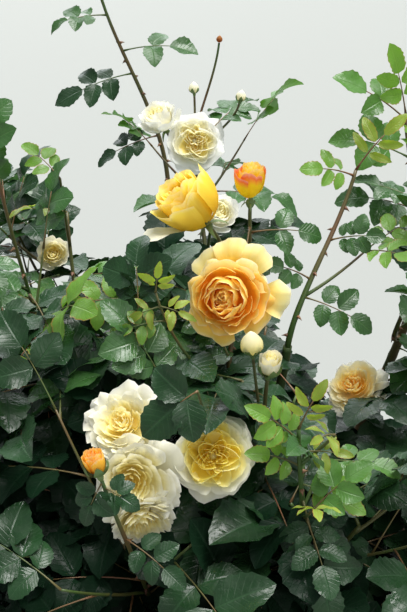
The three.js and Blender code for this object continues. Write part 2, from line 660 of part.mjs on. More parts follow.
// One shoot as one solid: its stem, side twigs by the seeded rule with a leaf at each end,
// leaves where the photograph sets them, and its flowers, the later ones on stalks from the stem.
function growShoot(shoot) {
  const { curve, flowers, seed, leafSize } = shoot;
  const own = [];
  const add = (pieces) => own.push(...pieces.map(boxed));
  add([stemOf(shoot), ...flowers.map(flower)]);
  for (let number = 1; number < flowers.length; number++) {
    const { calyx, facing } = flowers[number];
    const foot = pointOn(curve, STALK.first + STALK.spacing * number, STEM.steps);
    const length = foot.distanceTo(calyx);
    const lower = foot.clone().addScaledVector(curve.getTangent(STALK.first), STALK.lean * length);
    const upper = calyx.clone().addScaledVector(facing, -OFFSHOOT.end * length);
    const stalk = new THREE.CubicBezierCurve3(foot, lower, upper, calyx);
    add([limb(stalk, TWIG.radius, TWIG.radius, STEM.sides, STALK.steps)]);
  }
  const setLeaves = SET_LEAVES[shoot.setLeaves] || [];
  setLeaves.forEach(({ at, toward }, number) => {
    const draw = drawsFor(seed, SET_DRAWS + number);
    add(compoundLeaf(shoot, own, pointOn(curve, at, STEM.steps), vector(toward), leafSize, draw));
  });
  let twigs = 0;
  for (let number = 0; number < TWIG.tries && twigs < shoot.twigs; number++) {
    const draw = drawsFor(seed, number);
    const at = TWIG.first + TWIG.spread * draw();
    const length = Math.min(TWIG.longest, TWIG.share * curve.getLength()) * (TWIG.least + TWIG.vary * draw());
    const way = twigWay(curve, at, GOLDEN_ANGLE * (number + seed));
    const leaf = compoundLeaf(shoot, own, pointOn(curve, at, STEM.steps), way, leafSize, draw, length);
    add(leaf);
    twigs += leaf.length;
  }
  let leaves = setLeaves.length ? Infinity : 0;
  for (let number = 0; number < LEAF.tries && leaves < shoot.leaves; number++) {
    const atTip = number === 0 && !flowers.length;
    const at = atTip ? 1 : LEAVES_ON_STEM.last - LEAVES_ON_STEM.span * (number / LEAF.tries);
    const tangent = curve.getTangent(at);
    const sideways = aside(tangent, GOLDEN_ANGLE * (number + 2 * seed));
    const toward = tangent.clone().addScaledVector(sideways, atTip ? LEAF.tipLean : LEAF.lean);
    const draw = drawsFor(seed, STEM_DRAWS + number);
    const leaf = compoundLeaf(shoot, own, pointOn(curve, at, STEM.steps), toward, leafSize, draw);
    add(leaf);
    leaves += leaf.length;
  }
  return joined(own.map(({ piece }) => piece));
}

// A solid as a named mesh with its own material.
function part(name, piece, finish) {
  const mesh = piece.getMesh();
  const places = new Float32Array(mesh.numVert * 3);
  for (let i = 0; i < mesh.numVert; i++)
    places.set(mesh.vertProperties.subarray(i * mesh.numProp, i * mesh.numProp + 3), 3 * i);
  const geometry = new THREE.BufferGeometry();
  geometry.setAttribute("position", new THREE.BufferAttribute(places, 3));
  geometry.setIndex(new THREE.BufferAttribute(mesh.triVerts, 1));
  const made = new THREE.Mesh(geometry, new THREE.MeshStandardMaterial(finish));
  made.name = name;
  return made;
}

const bush = new THREE.Group();
bush.add(part("stump", stump(canes), OLD_WOOD));
for (const { name, piece } of limbSolids) bush.add(part(name, piece, GREEN_CANE));

// Stems and flowers are placed before any leaf, so that no leaf grows through them.
const frames = new Map();
for (const shoot of shoots) {
  const own = [stemOf(shoot), ...shoot.flowers.map(flower)];
  frames.set(shoot.name, own.map(boxed));
}
for (const shoot of shoots) {
  placed.length = 0;
  for (const [name, pieces] of frames) if (name !== shoot.name) placed.push(...pieces);
  const grown = growShoot(shoot);
  frames.set(shoot.name, [boxed(grown)]);
  bush.add(part(shoot.name, grown, YOUNG_SHOOTS.includes(shoot.name) ? YOUNG_LEAF : DARK_LEAF));
}

export default bush;
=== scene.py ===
from math import atan2, ceil, cos, floor, pi, radians, sin

import bpy
import numpy as np
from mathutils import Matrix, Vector


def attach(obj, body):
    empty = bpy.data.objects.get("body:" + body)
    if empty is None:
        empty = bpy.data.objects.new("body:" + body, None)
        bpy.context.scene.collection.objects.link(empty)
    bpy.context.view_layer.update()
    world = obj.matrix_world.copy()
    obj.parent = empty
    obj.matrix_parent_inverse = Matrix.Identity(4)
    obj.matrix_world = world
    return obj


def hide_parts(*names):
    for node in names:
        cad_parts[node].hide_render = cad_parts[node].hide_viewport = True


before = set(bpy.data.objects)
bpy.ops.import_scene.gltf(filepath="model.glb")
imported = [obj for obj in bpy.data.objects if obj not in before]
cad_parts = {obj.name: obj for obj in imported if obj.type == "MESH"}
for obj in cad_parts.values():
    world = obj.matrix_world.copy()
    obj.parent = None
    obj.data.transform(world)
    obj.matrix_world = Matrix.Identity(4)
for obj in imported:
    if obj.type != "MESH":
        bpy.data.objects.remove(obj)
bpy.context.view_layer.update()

# The room. A plain pale floor lies under a wide soft light, as on a bright overcast day, and the
# camera stands in front at eye height and looks down on the flowers.
CAMERA_PLACE = (0.0, -1.341, 1.486)
CAMERA_DOWN = 25
CAMERA_LENS = 76.1
FARTHEST_SEEN = 60
FLOOR_REACH = 40
FLOOR_LEVEL = -0.0005
LAMPS = [
    # name, kind, place, what it points at, width (an angle for a sun), power, colour
    ("high_sun", "SUN", (1.3, 0.0, 7.0), (0, 0, 0.7), 0.75, 5.6, (1.0, 0.99, 0.97)),
    ("front_lamp", "AREA", (2.0, -5.8, 4.2), (0, 0, 0.8), 4.0, 70, (1.0, 0.98, 0.95)),
    ("back_lamp", "AREA", (-2.0, 8.6, 6.2), (0, 0, 0.8), 8.0, 560, (0.95, 0.98, 1.0)),
]
SKY_COLOUR = (0.86, 0.92, 1.0)
SKY_STRENGTH = 0.40

camera = bpy.data.objects.new("camera", bpy.data.cameras.new("camera"))
camera.location = CAMERA_PLACE
camera.rotation_euler = (radians(90 - CAMERA_DOWN), 0, 0)
camera.data.lens = CAMERA_LENS
camera.data.clip_end = FARTHEST_SEEN
bpy.context.scene.collection.objects.link(camera)
bpy.context.scene.camera = camera

for name, kind, place, target, width, power, colour in LAMPS:
    lamp = bpy.data.objects.new(name, bpy.data.lights.new(name, kind))
    lamp.location = place
    lamp.rotation_euler = (Vector(target) - Vector(place)).to_track_quat("-Z", "Y").to_euler()
    setattr(lamp.data, "angle" if kind == "SUN" else "size", width)
    lamp.data.energy = power
    lamp.data.color = colour
    bpy.context.scene.collection.objects.link(lamp)

sky = bpy.data.worlds.new("pale_sky")
sky.use_nodes = True
sky.node_tree.nodes["Background"].inputs["Color"].default_value = (*SKY_COLOUR, 1)
sky.node_tree.nodes["Background"].inputs["Strength"].default_value = SKY_STRENGTH
bpy.context.scene.world = sky
bpy.context.scene.view_settings.view_transform = "Standard"


def plain_finish(name, colour, roughness, gloss):
    """A material of one colour, with its shader's node."""
    made = bpy.data.materials.new(name)
    made.use_nodes = True
    shader = made.node_tree.nodes["Principled BSDF"]
    shader.inputs["Base Color"].default_value = (*colour, 1)
    shader.inputs["Roughness"].default_value = roughness
    shader.inputs["Specular IOR Level"].default_value = gloss
    return made, shader


ground_mesh = bpy.data.meshes.new("floor")
ground_corners = [(-1, -1), (1, -1), (1, 1), (-1, 1)]
ground_corners = [(x * FLOOR_REACH, y * FLOOR_REACH, FLOOR_LEVEL) for x, y in ground_corners]
ground_mesh.from_pydata(ground_corners, [], [(0, 1, 2, 3)])
ground_mesh.materials.append(plain_finish("floor_paint", (0.29, 0.30, 0.285), 0.9, 0.2)[0])
ground = bpy.data.objects.new("floor", ground_mesh)
bpy.context.scene.collection.objects.link(ground)

# The stump. A short knotted stem of old wood with a root flare, cut flat at the ground, carries a
# knuckle under each cane. Its bark is grey-brown, cracked along the grain and worn pale on the ridges.
MM = 0.001
UP = np.array([0.0, 0.0, 1.0])
SEAT_GAP = 0.3
STUMP_HEIGHT = 62
STUMP_GRID = (44, 120)
# The stump's outline from the middle of its foot to the middle of its top: share of the way,
# radius, and share of the height.
STUMP_OUTLINE = [(0, 0.02, 0), (0.08, 76, 0), (0.45, 58, 0.42), (0.75, 49.88, 0.8), (0.9, 26, 0.86),
                 (1, 0.5, 0.86)]
STUMP_LOBES = [(0.07, 5, 0.6, 0), (0.04, 8, 2.1, 1.5)]  # depth, count, turn, and how they wind
STUMP_CRACKS = {"depth": 0.035, "around": 6, "up": 9}
STUMP_RELIEF = {"full_above": 20, "least": 0.4, "shrink": 0.03}
KNUCKLE_GRID = (18, 24)
KNUCKLE_OUTLINE = [(-50, 17.5), (-20, 16), (-4, 13.5), (8, 12), (14, 8.2)]  # level from a cane's foot, radius
KNUCKLE_CRACKS = {"depth": 0.07, "around": 3, "up": 0.25, "apart": 5}
CANE = {"foot_radius": 9, "tip_radius": 4.6, "inner_ring": 19, "outer_ring": 46, "sides": 6, "steps": 5,
        "lower_rise": 0.38, "upper_out": 0.72, "upper_rise": 0.76}
FORK = {"foot_radius": 5.2, "tip_radius": 4, "finish_rise": 0.9}
OFFSHOOT = {"on_from_tip": 0.35, "out_from_side": 0.2, "in_to_end": 0.35}  # shares of its length
CANES = [
    ("cane_centre", "inner", 240, (16, -112, 815)),
    ("cane_centre_right", "inner", 322, (86, -160, 890)),
    ("cane_back_tall", "inner", 142, (-46, 262, 908)),
    ("cane_back_centre", "inner", 58, (6, 158, 800)),
    ("cane_front", "outer", 268, (14, -214, 785)),
    ("cane_front_left", "outer", 236, (-92, -238, 700)),
    ("cane_left", "outer", 200, (-172, -92, 800)),
    ("cane_back_left", "outer", 150, (-205, 140, 720)),
    ("cane_back", "outer", 96, (-20, 285, 600)),
    ("cane_back_right", "outer", 45, (190, 190, 560)),
    ("cane_right", "outer", 355, (236, -30, 880)),
    ("cane_front_right", "outer", 302, (92, -300, 740)),
]
FORKS = [
    ("fork_left", "cane_left", 0.42, (-285, -55, 560)),
    ("fork_right", "cane_right", 0.45, (300, -95, 580)),
]
MOST_TRIANGLES = 190_000
# The numbers that draws are made from start here by kind, so that no two kinds share them.
SEEDS = {"set_leaf": 50, "stem_end_leaf": 70, "twig_set_leaf": 80, "ring": 90, "ring_shoot": 100,
         "stem_leaf": 200, "twig_end_leaf": 290, "twig_leaf": 300, "cane_leaf": 400, "petals": 500,
         "prickles": 600, "waves": 700}
DRIFT_STOPS = (0.36, 0.66)
WAVES = {"count": 6, "least": 0.6, "closer": 0.6, "fainter": 0.3, "evened": 3}


def draws_for(*item):
    """Numbers from 0 to 1, the same each time for the same item: each is the last state times
    48271, left over a large prime, and counted as a share of it."""
    prime = 2147483647
    state = 1
    for part in item:
        state = (state * 613 + part * 7919 + 17) % prime

    def draw():
        nonlocal state
        state = state * 48271 % prime
        return state / prime

    draw()
    draw()
    return draw


def unit(vectors):
    """Vectors divided by their own lengths."""
    return vectors / np.maximum(np.linalg.norm(vectors, axis=-1, keepdims=True), 1e-9)


def dot(first, second):
    """How far one vector goes along another, kept as a last axis of one."""
    return (first * second).sum(-1, keepdims=True)


def level_across(heading):
    """The level unit vector square to a heading: straight up crossed with it."""
    level = np.cross(UP, heading)
    flat = np.linalg.norm(level, axis=-1, keepdims=True) < 1e-3
    return unit(np.where(flat, [1.0, 0.0, 0.0], level))


def across(direction, near):
    """Two unit vectors across a direction, the first as near as can be to a given one."""
    level = unit(near - dot(near, direction) * direction)
    return level, unit(np.cross(direction, level))


def on_bezier(controls, shares):
    """Points of cubic curves at shares t: the four control points weighted by (1-t)^3, 3t(1-t)^2,
    3t^2(1-t) and t^3. Controls are (..., 4, 3) and shares one number or a row of them."""
    t = np.asarray(shares, float)[..., None]
    points = np.moveaxis(controls, -2, 0)
    a, b, c, d = points[..., None, :] if t.ndim > 1 else points
    return a * (1 - t) ** 3 + 3 * b * t * (1 - t) ** 2 + 3 * c * t**2 * (1 - t) + d * t**3


def along_bezier(controls, shares):
    """The unit tangent of cubic curves at shares t."""
    near = np.clip(np.asarray(shares, float) - 1e-4, 0, 1)
    far = np.clip(np.asarray(shares, float) + 1e-4, 0, 1)
    return unit(on_bezier(controls, far) - on_bezier(controls, near))


def cane_controls(ring, bearing, tip):
    """A cane's four control points: upright from its foot on the stump, leaning out to its tip."""
    radius = CANE[f"{ring}_ring"]
    angle = radians(bearing)
    foot = np.array([radius * cos(angle), radius * sin(angle), STUMP_HEIGHT + SEAT_GAP])
    end = np.array(tip, float)
    rise = end[2] - foot[2]
    upper = foot + CANE["upper_out"] * (end - foot)
    upper[2] = foot[2] + CANE["upper_rise"] * rise
    return np.array([foot, foot + CANE["lower_rise"] * rise * UP, upper, end])


def frame_at(controls, at):
    """A limb's cross directions at a share t, from its heading as a whole."""
    heading = controls[3] - controls[0]
    return across(along_bezier(controls, at), level_across(heading))


def chord_point(controls, at):
    """The point at a share of a cane that is made of straight pieces, as its solid is."""
    steps = CANE["steps"]
    piece = min(steps - 1, floor(at * steps))
    start, stop = on_bezier(controls, piece / steps), on_bezier(controls, (piece + 1) / steps)
    return start + (at * steps - piece) * (stop - start)


def offshoot(carrier, at, end, finish):
    """The control points of a limb that leaves a carrying limb square to the side that faces its
    end, or on from its tip, and reaches its end in a given direction."""
    controls = carrier["controls"]
    middle = chord_point(controls, at)
    if at == 1:
        away, lead = along_bezier(controls, 1.0), OFFSHOOT["on_from_tip"]
        foot = middle + SEAT_GAP * away
    else:
        lead = OFFSHOOT["out_from_side"]
        level, lift = frame_at(controls, at)
        heading = end - middle
        turn = 2 * pi / CANE["sides"]
        angle = (floor(atan2(heading @ lift, heading @ level) / turn) + 0.5) * turn
        away = cos(angle) * level + sin(angle) * lift
        girth = carrier["foot_radius"] + at * (carrier["tip_radius"] - carrier["foot_radius"])
        foot = middle + (girth * cos(turn / 2) + SEAT_GAP) * away
    length = np.linalg.norm(end - foot)
    return np.array([foot, foot + lead * length * away, end - OFFSHOOT["in_to_end"] * length * finish, end])


def wander(seed, *coordinates):
    """A smooth value from about -1 to 1 at each place: the sum of six sine waves, each closer and
    fainter than the last, whose directions and starts are drawn from the seed, evened out."""
    draw = draws_for(SEEDS["waves"], seed)
    total = 0
    for number in range(WAVES["count"]):
        phase = 2 * pi * draw()
        wave = sum((WAVES["least"] + draw()) * (1 if draw() < 0.5 else -1) * part for part in coordinates)
        wave = np.sin((1 + WAVES["closer"] * number) * wave + phase)
        total = total + wave / (1 + WAVES["fainter"] * number)
    return total / WAVES["evened"]


def tubes(paths, radii, sides):
    """Round limbs, (n, rings, sides, 3): about each path's point, two cross directions times the
    radius's cosine and sine. Paths are (n, rings, 3) and radii (n, rings) or (n, rings, sides)."""
    tangents = unit(np.gradient(paths, axis=1))
    level, lift = across(tangents, level_across(paths[:, -1:] - paths[:, :1]))
    angles = 2 * pi * np.arange(sides) / sides
    radii = radii[..., None] if radii.ndim == 2 else radii
    ways = np.cos(angles)[:, None] * level[:, :, None] + np.sin(angles)[:, None] * lift[:, :, None]
    return paths[:, :, None] + radii[..., None] * ways


def grid_faces(count, rows, columns, ring=False):
    """The faces of many grids of points, numbered one grid after another. A ring's last column is
    joined to its first, and its two open ends are closed by fans."""
    corner = np.arange(rows * columns).reshape(rows, columns)
    nearer = corner if ring else corner[:, :-1]
    further = np.roll(corner, -1, axis=1) if ring else corner[:, 1:]
    one = np.stack([nearer[:-1], further[:-1], further[1:], nearer[1:]], -1).reshape(-1, 4)
    if ring:
        fan = np.arange(1, columns - 1)
        foot = np.stack([0 * fan, fan + 1, fan, fan], -1)
        tip = np.stack([0 * fan, fan, fan + 1, fan + 1], -1) + corner[-1, 0]
        one = np.concatenate([one, foot, tip])
    return (one[None] + (rows * columns) * np.arange(count)[:, None, None]).reshape(-1, 4)


def add_piece(name, points, faces, finish, nodes, spots):
    """One joined mesh from whole arrays, riding on the bush. Points are in millimetres. A face is
    four point numbers, the last two the same in a triangle. Spots are each point's (across, along)
    place on its own grid."""
    mesh = bpy.data.meshes.new(name)
    corners = np.where(faces[:, 2] == faces[:, 3], 3, 4)
    kept = np.ones(faces.shape, bool)
    kept[:, 3] = corners == 4
    loops = faces[kept].astype(np.int32)
    mesh.vertices.add(len(points))
    mesh.vertices.foreach_set("co", (MM * points).astype(np.float32).ravel())
    mesh.loops.add(len(loops))
    mesh.loops.foreach_set("vertex_index", loops)
    mesh.polygons.add(len(faces))
    mesh.polygons.foreach_set("loop_start", (np.cumsum(corners) - corners).astype(np.int32))
    mesh.polygons.foreach_set("use_smooth", np.ones(len(faces), bool))
    mesh.uv_layers.new(name="spot").data.foreach_set("uv", spots[loops].astype(np.float32).ravel())
    mesh.update()
    mesh.materials.append(finish)
    made = bpy.data.objects.new(name, mesh)
    bpy.context.scene.collection.objects.link(made)
    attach(made, "root")
    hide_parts(*nodes)


def add_grids(name, grids, finish, nodes, ring=False):
    """Grids of points, (n, rows, columns, 3), joined in as few pieces as keep under the limit."""
    count, rows, columns = grids.shape[:3]
    each = 2 * (rows - 1) * (columns if ring else columns - 1) + (2 * columns - 4 if ring else 0)
    parts = max(1, ceil(count * each / MOST_TRIANGLES))
    along, aside = np.meshgrid(np.linspace(0, 1, rows), np.linspace(0, 1, columns), indexing="ij")
    spot = np.stack([aside, along], -1).reshape(-1, 2)
    for number, share in enumerate(np.array_split(grids, parts)):
        label = name if parts == 1 else f"{name}_{number + 1}"
        faces = grid_faces(len(share), rows, columns, ring)
        add_piece(label, share.reshape(-1, 3), faces, finish, nodes, np.tile(spot, (len(share), 1)))


def add_node(tree, kind, inputs, **settings):
    """A shader node with its settings made. An input is a plain value, or the output of another
    node, which is then linked to it."""
    node = tree.nodes.new(f"ShaderNode{kind}")
    for name, value in settings.items():
        setattr(node, name, value)
    for name, value in inputs.items():
        if isinstance(value, bpy.types.NodeSocket):
            tree.links.new(value, node.inputs[name])
        else:
            node.inputs[name].default_value = value
    return node


def colour_ramp(tree, amount, stops):
    """The colour that an amount picks from a row of stops, each a place from 0 to 1 and a colour."""
    ramp = add_node(tree, "ValToRGB", {"Fac": amount})
    for number, (place, colour) in enumerate(stops):
        elements = ramp.color_ramp.elements
        stop = elements[number] if number < 2 else elements.new(place)
        stop.position, stop.color = place, (*colour, 1)
    return ramp.outputs["Color"]


def patterned(name, colour, roughness, gloss, low, high, scale, stretch, bump, depth):
    """A finish of two colours that drift into each other in a stretched noise, with its relief."""
    made, shader = plain_finish(name, colour, roughness, gloss)
    tree = made.node_tree
    place = add_node(tree, "TexCoord", {}).outputs["Object"]
    placed = add_node(tree, "Mapping", {"Vector": place, "Scale": stretch}).outputs["Vector"]
    noise = add_node(tree, "TexNoise", {"Vector": placed, "Scale": scale, "Detail": 6}).outputs["Fac"]
    colour = colour_ramp(tree, noise, zip(DRIFT_STOPS, (low, high)))
    relief = add_node(tree, "Bump", {"Height": noise, "Strength": bump, "Distance": depth})
    tree.links.new(colour, shader.inputs["Base Color"])
    tree.links.new(relief.outputs["Normal"], shader.inputs["Normal"])
    return made


def stump_surface():
    """The stump's grid: the outline's radius at each share of it, times one plus buttress lobes and
    bark cracks, which fade towards the ground. The foot is a flat disc."""
    rows, columns = STUMP_GRID
    level = np.linspace(0, 1, rows)[:, None]
    angle = 2 * pi * np.arange(columns)[None] / columns
    shares, radii, heights = np.array(STUMP_OUTLINE, float).T
    radius = np.interp(level, shares, radii)
    height = np.interp(level, shares, STUMP_HEIGHT * heights)
    lobes = sum(depth * np.sin(count * angle + turn + wind * level)
                for depth, count, turn, wind in STUMP_LOBES)
    around = STUMP_CRACKS["around"]
    cracks = wander(1, around * np.sin(angle), around * np.cos(angle), STUMP_CRACKS["up"] * level)
    fade = np.clip(height / STUMP_RELIEF["full_above"], STUMP_RELIEF["least"], 1)
    radius = radius * (1 + (lobes + STUMP_CRACKS["depth"] * cracks) * fade - STUMP_RELIEF["shrink"])
    return np.stack([radius * np.cos(angle), radius * np.sin(angle), height + 0 * angle], -1)[None]


limbs = {}
for name, ring, bearing, tip in CANES:
    limbs[name] = {**CANE, "name": name, "controls": cane_controls(ring, bearing, tip)}
for name, carrier, at, tip in FORKS:
    end = np.array(tip, float)
    finish = unit(np.array([end[0], end[1], FORK["finish_rise"] * np.hypot(end[0], end[1])]))
    limbs[name] = {**FORK, "name": name, "controls": offshoot(limbs[carrier], at, end, finish)}
cane_feet = np.array([limb["controls"][0] for limb in limbs.values()][: len(CANES)])

knuckle_rings, knuckle_sides = KNUCKLE_GRID
outline_levels, outline_radii = np.array(KNUCKLE_OUTLINE, float).T
knuckle_levels = np.linspace(outline_levels[0], outline_levels[-1], knuckle_rings)
knuckle_paths = cane_feet[:, None] + knuckle_levels[None, :, None] * UP
knuckle_swell = np.interp(knuckle_levels, outline_levels, outline_radii)
knuckle_angles = 2 * pi * np.arange(knuckle_sides) / knuckle_sides
knuckle_starts = KNUCKLE_CRACKS["apart"] * np.arange(len(CANES))[:, None, None]
knuckle_bark = 1 + KNUCKLE_CRACKS["depth"] * wander(
    2, KNUCKLE_CRACKS["around"] * np.sin(knuckle_angles), KNUCKLE_CRACKS["around"] * np.cos(knuckle_angles),
    KNUCKLE_CRACKS["up"] * knuckle_levels[:, None] + knuckle_starts)
knuckles = tubes(knuckle_paths, knuckle_swell[None, :, None] * knuckle_bark, knuckle_sides)

old_wood = patterned("old_bark", (0.16, 0.12, 0.09), 0.88, 0.25, (0.055, 0.038, 0.026),
                     (0.24, 0.19, 0.14), 120, (1, 1, 0.35), 0.8, 0.003)
add_grids("stump_bark", stump_surface(), old_wood, ["stump"], ring=True)
add_grids("cane_knuckles", knuckles, old_wood, ["stump"], ring=True)

# The canes. Twelve long stems, green and red-brown above and corky at the foot, rise from their
# knuckles and arch outwards, and two of them fork. Leaf scars ring them, and their bark is furrowed.
CANE_RINGS = 110
CANE_SIDES = 14
CANE_SINK = 10
SCAR = {"spacing": 46, "swell": 0.10, "breadth": 3.2}
FURROWS = {"around": 2.6, "along": 0.02, "apart": 7}
FURROW_DEPTHS = ((0, 160, 500), (0.09, 0.05, 0.03))  # distance from the foot, and their depth there


def cane_tubes(rows):
    """Limbs with bark relief: the tapering radius times one plus furrows that run along it, and a
    low swelling at each leaf scar."""
    shares = np.linspace(0, 1, CANE_RINGS)
    controls = np.array([row["controls"] for row in rows])
    paths = on_bezier(controls, np.tile(shares, (len(rows), 1)))
    paths[:, 0] -= CANE_SINK * unit(paths[:, 1] - paths[:, 0])
    taper = np.array([[row["foot_radius"], row["tip_radius"]] for row in rows])
    radius = taper[:, :1] + shares * (taper[:, 1:] - taper[:, :1])
    travelled = np.concatenate([np.zeros((len(rows), 1)),
                                np.cumsum(np.linalg.norm(np.diff(paths, axis=1), axis=2), 1)], 1)
    half = SCAR["spacing"] / 2
    from_scar = (travelled + half) % SCAR["spacing"] - half
    scar = SCAR["swell"] * np.exp(-((from_scar / SCAR["breadth"]) ** 2))
    angle = 2 * pi * np.arange(CANE_SIDES) / CANE_SIDES
    start = FURROWS["apart"] * np.arange(len(rows))[:, None, None]
    furrows = wander(3, FURROWS["around"] * np.sin(angle), FURROWS["around"] * np.cos(angle),
                     FURROWS["along"] * travelled[..., None] + start)
    rough = np.interp(travelled, *FURROW_DEPTHS)[..., None]
    return tubes(paths, radius[..., None] * (1 + scar[..., None] + rough * furrows), CANE_SIDES)


cane_bark = patterned("cane_bark", (0.10, 0.13, 0.05), 0.55, 0.4, (0.038, 0.072, 0.018),
                      (0.105, 0.066, 0.030), 26, (1, 1, 0.3), 0.35, 0.0012)
add_grids("canes", cane_tubes(list(limbs.values())), cane_bark, list(limbs), ring=True)

# The shoots. Each is a young stem that leaves a cane's side or tip, with side twigs by the same
# seeded rule as the solids, and finer ones, and some bear flowers. Here they are only planned.
GOLDEN_ANGLE = 2.39996
STEM = {"foot_radius": 3.2, "tip_radius": 1.8, "steps": 3, "finish_rise": 0.5, "measured_at": 60,
        "kept_bare": 0.1}
TWIG = {"foot_radius": 2.0, "tip_radius": 1.1, "lean": 1.4, "rise": 0.3, "share": 0.42, "longest": 130,
        "tries": 8, "lift": 0.16, "lowest": 0.25, "stretch": 0.55, "least": 0.8, "spread": 0.4, "bow": 0.3}
# The stalks of a shoot's later flowers: the place on its stem that they are counted from, how far
# apart they leave it, and how far each keeps on along the stem and comes in to its flower.
FLOWER_STALK = {"from": 0.5, "apart": 0.09, "out_from_stem": 0.25, "in_to_flower": 0.35}
# How many finer twigs a shoot has beside those of its solid: open shoots have few.
FINE_TWIGS = {"shoot_tall": 0, "shoot_right_cane": 0, "shoot_top_right": 0, "shoot_left_edge": 0,
              "shoot_young_left": 0, "shoot_opening_bud": 0, "shoot_white_cluster": 0, "shoot_right_mid": 0,
              "shoot_faded_middle": 0, "shoot_half_open": 1, "shoot_faded_right": 2}
MOST_FINE_TWIGS = 4
# Twigs placed one by one: the shoot, the place on its stem, the twig's tip, and its leaves' set.
SET_TWIGS = {"shoot_golden_bloom": [(0.35, (-45, -236, 985), "new"), (0.2, (-5, -352, 943), "grown")]}
STEM_RINGS = 22
STEM_SIDES = 8
TWIG_RINGS = 9
TWIG_SIDES = 6
SPACE_LAP = 60
LOWEST_TWIG = 30
SHOOTS = [
    # name, cane, place on it, twigs, tip or None, size of its leaves, flowers:
    # (kind, centre, facing, size, tone)
    ("shoot_golden_bloom", "cane_front", 1, 2, None, 1,
     [("rosette", (25, -222, 973), (-0.15, -0.93, 0.33), 96, "golden"),
      ("guard", (25, -222, 973), (-0.15, -0.93, 0.33), 96, "painted_lit_gold")]),
    ("shoot_half_open", "cane_centre", 1, 2, None, 1,
     [("goblet", (-16, -147, 1041), (-0.62, -0.16, 0.76), 74, "yellow"),
      ("tall", (-16, -147, 1041), (-0.62, -0.16, 0.76), 73, "yellow"),
      ("loose", (-16, -147, 1041), (-0.62, -0.16, 0.76), 78, "cream")]),
    ("shoot_opening_bud", "cane_centre", 0.88, 1, None, 1,
     [("opening", (46, -157, 1067), (0.02, -0.12, 0.99), 36, "flame")]),
    ("shoot_white_cluster", "cane_back_centre", 1, 3, None, 1,
     [("quartered", (-11, 215, 989), (0.05, -0.86, 0.5), 72, "white"),
      ("cup", (-56, 228, 1016), (-0.35, -0.35, 0.87), 54, "white"),
      ("bud", (-12, 243, 1049), (-0.05, 0.05, 1), 13, "white"),
      ("bud", (47, 238, 1040), (0.2, 0.05, 0.98), 13, "white"),
      ("hip", (20, 270, 1104), (0.1, 0.1, 0.99), 8, "hip")]),
    ("shoot_faded_middle", "cane_back_centre", 0.86, 1, None, 1,
     [("cup", (19, 108, 934), (0.25, -0.7, 0.66), 50, "white")]),
    ("shoot_tall", "cane_back_tall", 1, 0, (-134, 290, 1175), 0.85, []),
    ("shoot_right_cane", "cane_centre_right", 1, 1, (154, -98, 1058), 0.75, []),
    ("shoot_top_right", "cane_right", 1, 1, (214, -14, 1092), 0.8, []),
    ("shoot_left_mid", "cane_left", 1, 2, (-176, -150, 950), 1.15, []),
    ("shoot_left_edge", "cane_left", 0.84, 1, (-214, -70, 1050), 0.9, []),
    ("shoot_young_left", "cane_left", 0.93, 1, (-150, -6, 1010), 0.8, []),
    ("shoot_left_front", "cane_front_left", 0.9, 2, (-150, -200, 918), 1.15, []),
    ("shoot_centre_left", "cane_centre", 0.74, 2, (-70, -165, 945), 1, []),
    ("shoot_pale_bloom", "cane_back_left", 1, 2, None, 1,
     [("cup", (-175, 50, 905), (0.1, -0.6, 0.35), 42, "cream")]),
    ("shoot_cream_cluster", "cane_front_left", 1, 1, None, 1,
     [("blowsy", (-60, -336, 839), (-0.05, -0.93, 0.26), 66, "cream"),
      ("blowsy", (-70, -304, 879), (-0.2, -0.62, 0.74), 66, "cream"),
      ("blowsy", (-54, -345, 803), (0.2, -0.88, -0.35), 56, "cream")]),
    ("shoot_orange_bud", "cane_front_left", 0.8, 1, None, 1,
     [("opening", (-94, -384, 890), (-0.25, -0.1, 0.96), 25, "orange")]),
    ("shoot_quartered", "cane_front", 0.88, 1, None, 1,
     [("quartered", (9, -318, 856), (0.05, -0.92, 0.38), 76, "lemon")]),
    ("shoot_cream_buds", "cane_front_right", 0.9, 1, None, 1,
     [("opening", (62, -276, 930), (0.1, -0.3, 0.95), 26, "cream"),
      ("bud", (45, -262, 944), (-0.1, 0, 0.99), 22, "cream")]),
    ("shoot_young_right", "cane_front_right", 1, 2, (84, -352, 905), 0.55, []),
    ("shoot_faded_right", "cane_right", 0.86, 1, None, 1,
     [("blowsy", (166, -112, 815), (-0.3, -0.5, 0.75), 58, "faded")]),
    ("shoot_right_mid", "cane_right", 0.93, 2, (222, -120, 965), 1, []),
    ("shoot_right_low", "cane_front_right", 0.78, 2, (178, -280, 800), 1.25, []),
]
# Rings of shoots that fill the rest of the crown: height, reach, count, first angle, twigs.
RINGS = [(260, 255, 6, 0.2, 1), (440, 335, 7, 0.55, 1), (640, 320, 8, 0.15, 2), (820, 190, 5, 1.25, 1)]
# Flowers at the ends of some of them, by ring and number.
RING_FLOWERS = {
    (1, 2): ("rosette", 84, "golden"),
    (1, 4): ("cup", 64, "cream"),
    (2, 0): ("quartered", 82, "lemon"),
    (2, 2): ("cup", 62, "yellow"),
    (2, 3): ("rosette", 88, "golden"),
    (2, 4): ("opening", 34, "flame"),
}
# The crown's outline: its reach from the middle at each level.
CROWN = [(60, 330), (180, 450), (450, 520), (650, 505), (820, 455), (950, 410), (1100, 400), (1350, 390)]
# The side on which ring shoots stand lower, and by which share.
LOW_SIDE = {"bearing": 0.85, "drop": 0.2}
# The room that a ring shoot's tip needs, how its turn and reach are drawn, how its flower faces up,
# and the size of its leaves.
RING = {"room": 120, "shift": 0.3, "least": 0.94, "spread": 0.12, "facing_rise": 0.5, "rise_by_ring": 0.3,
        "leaf_size": 1.05}
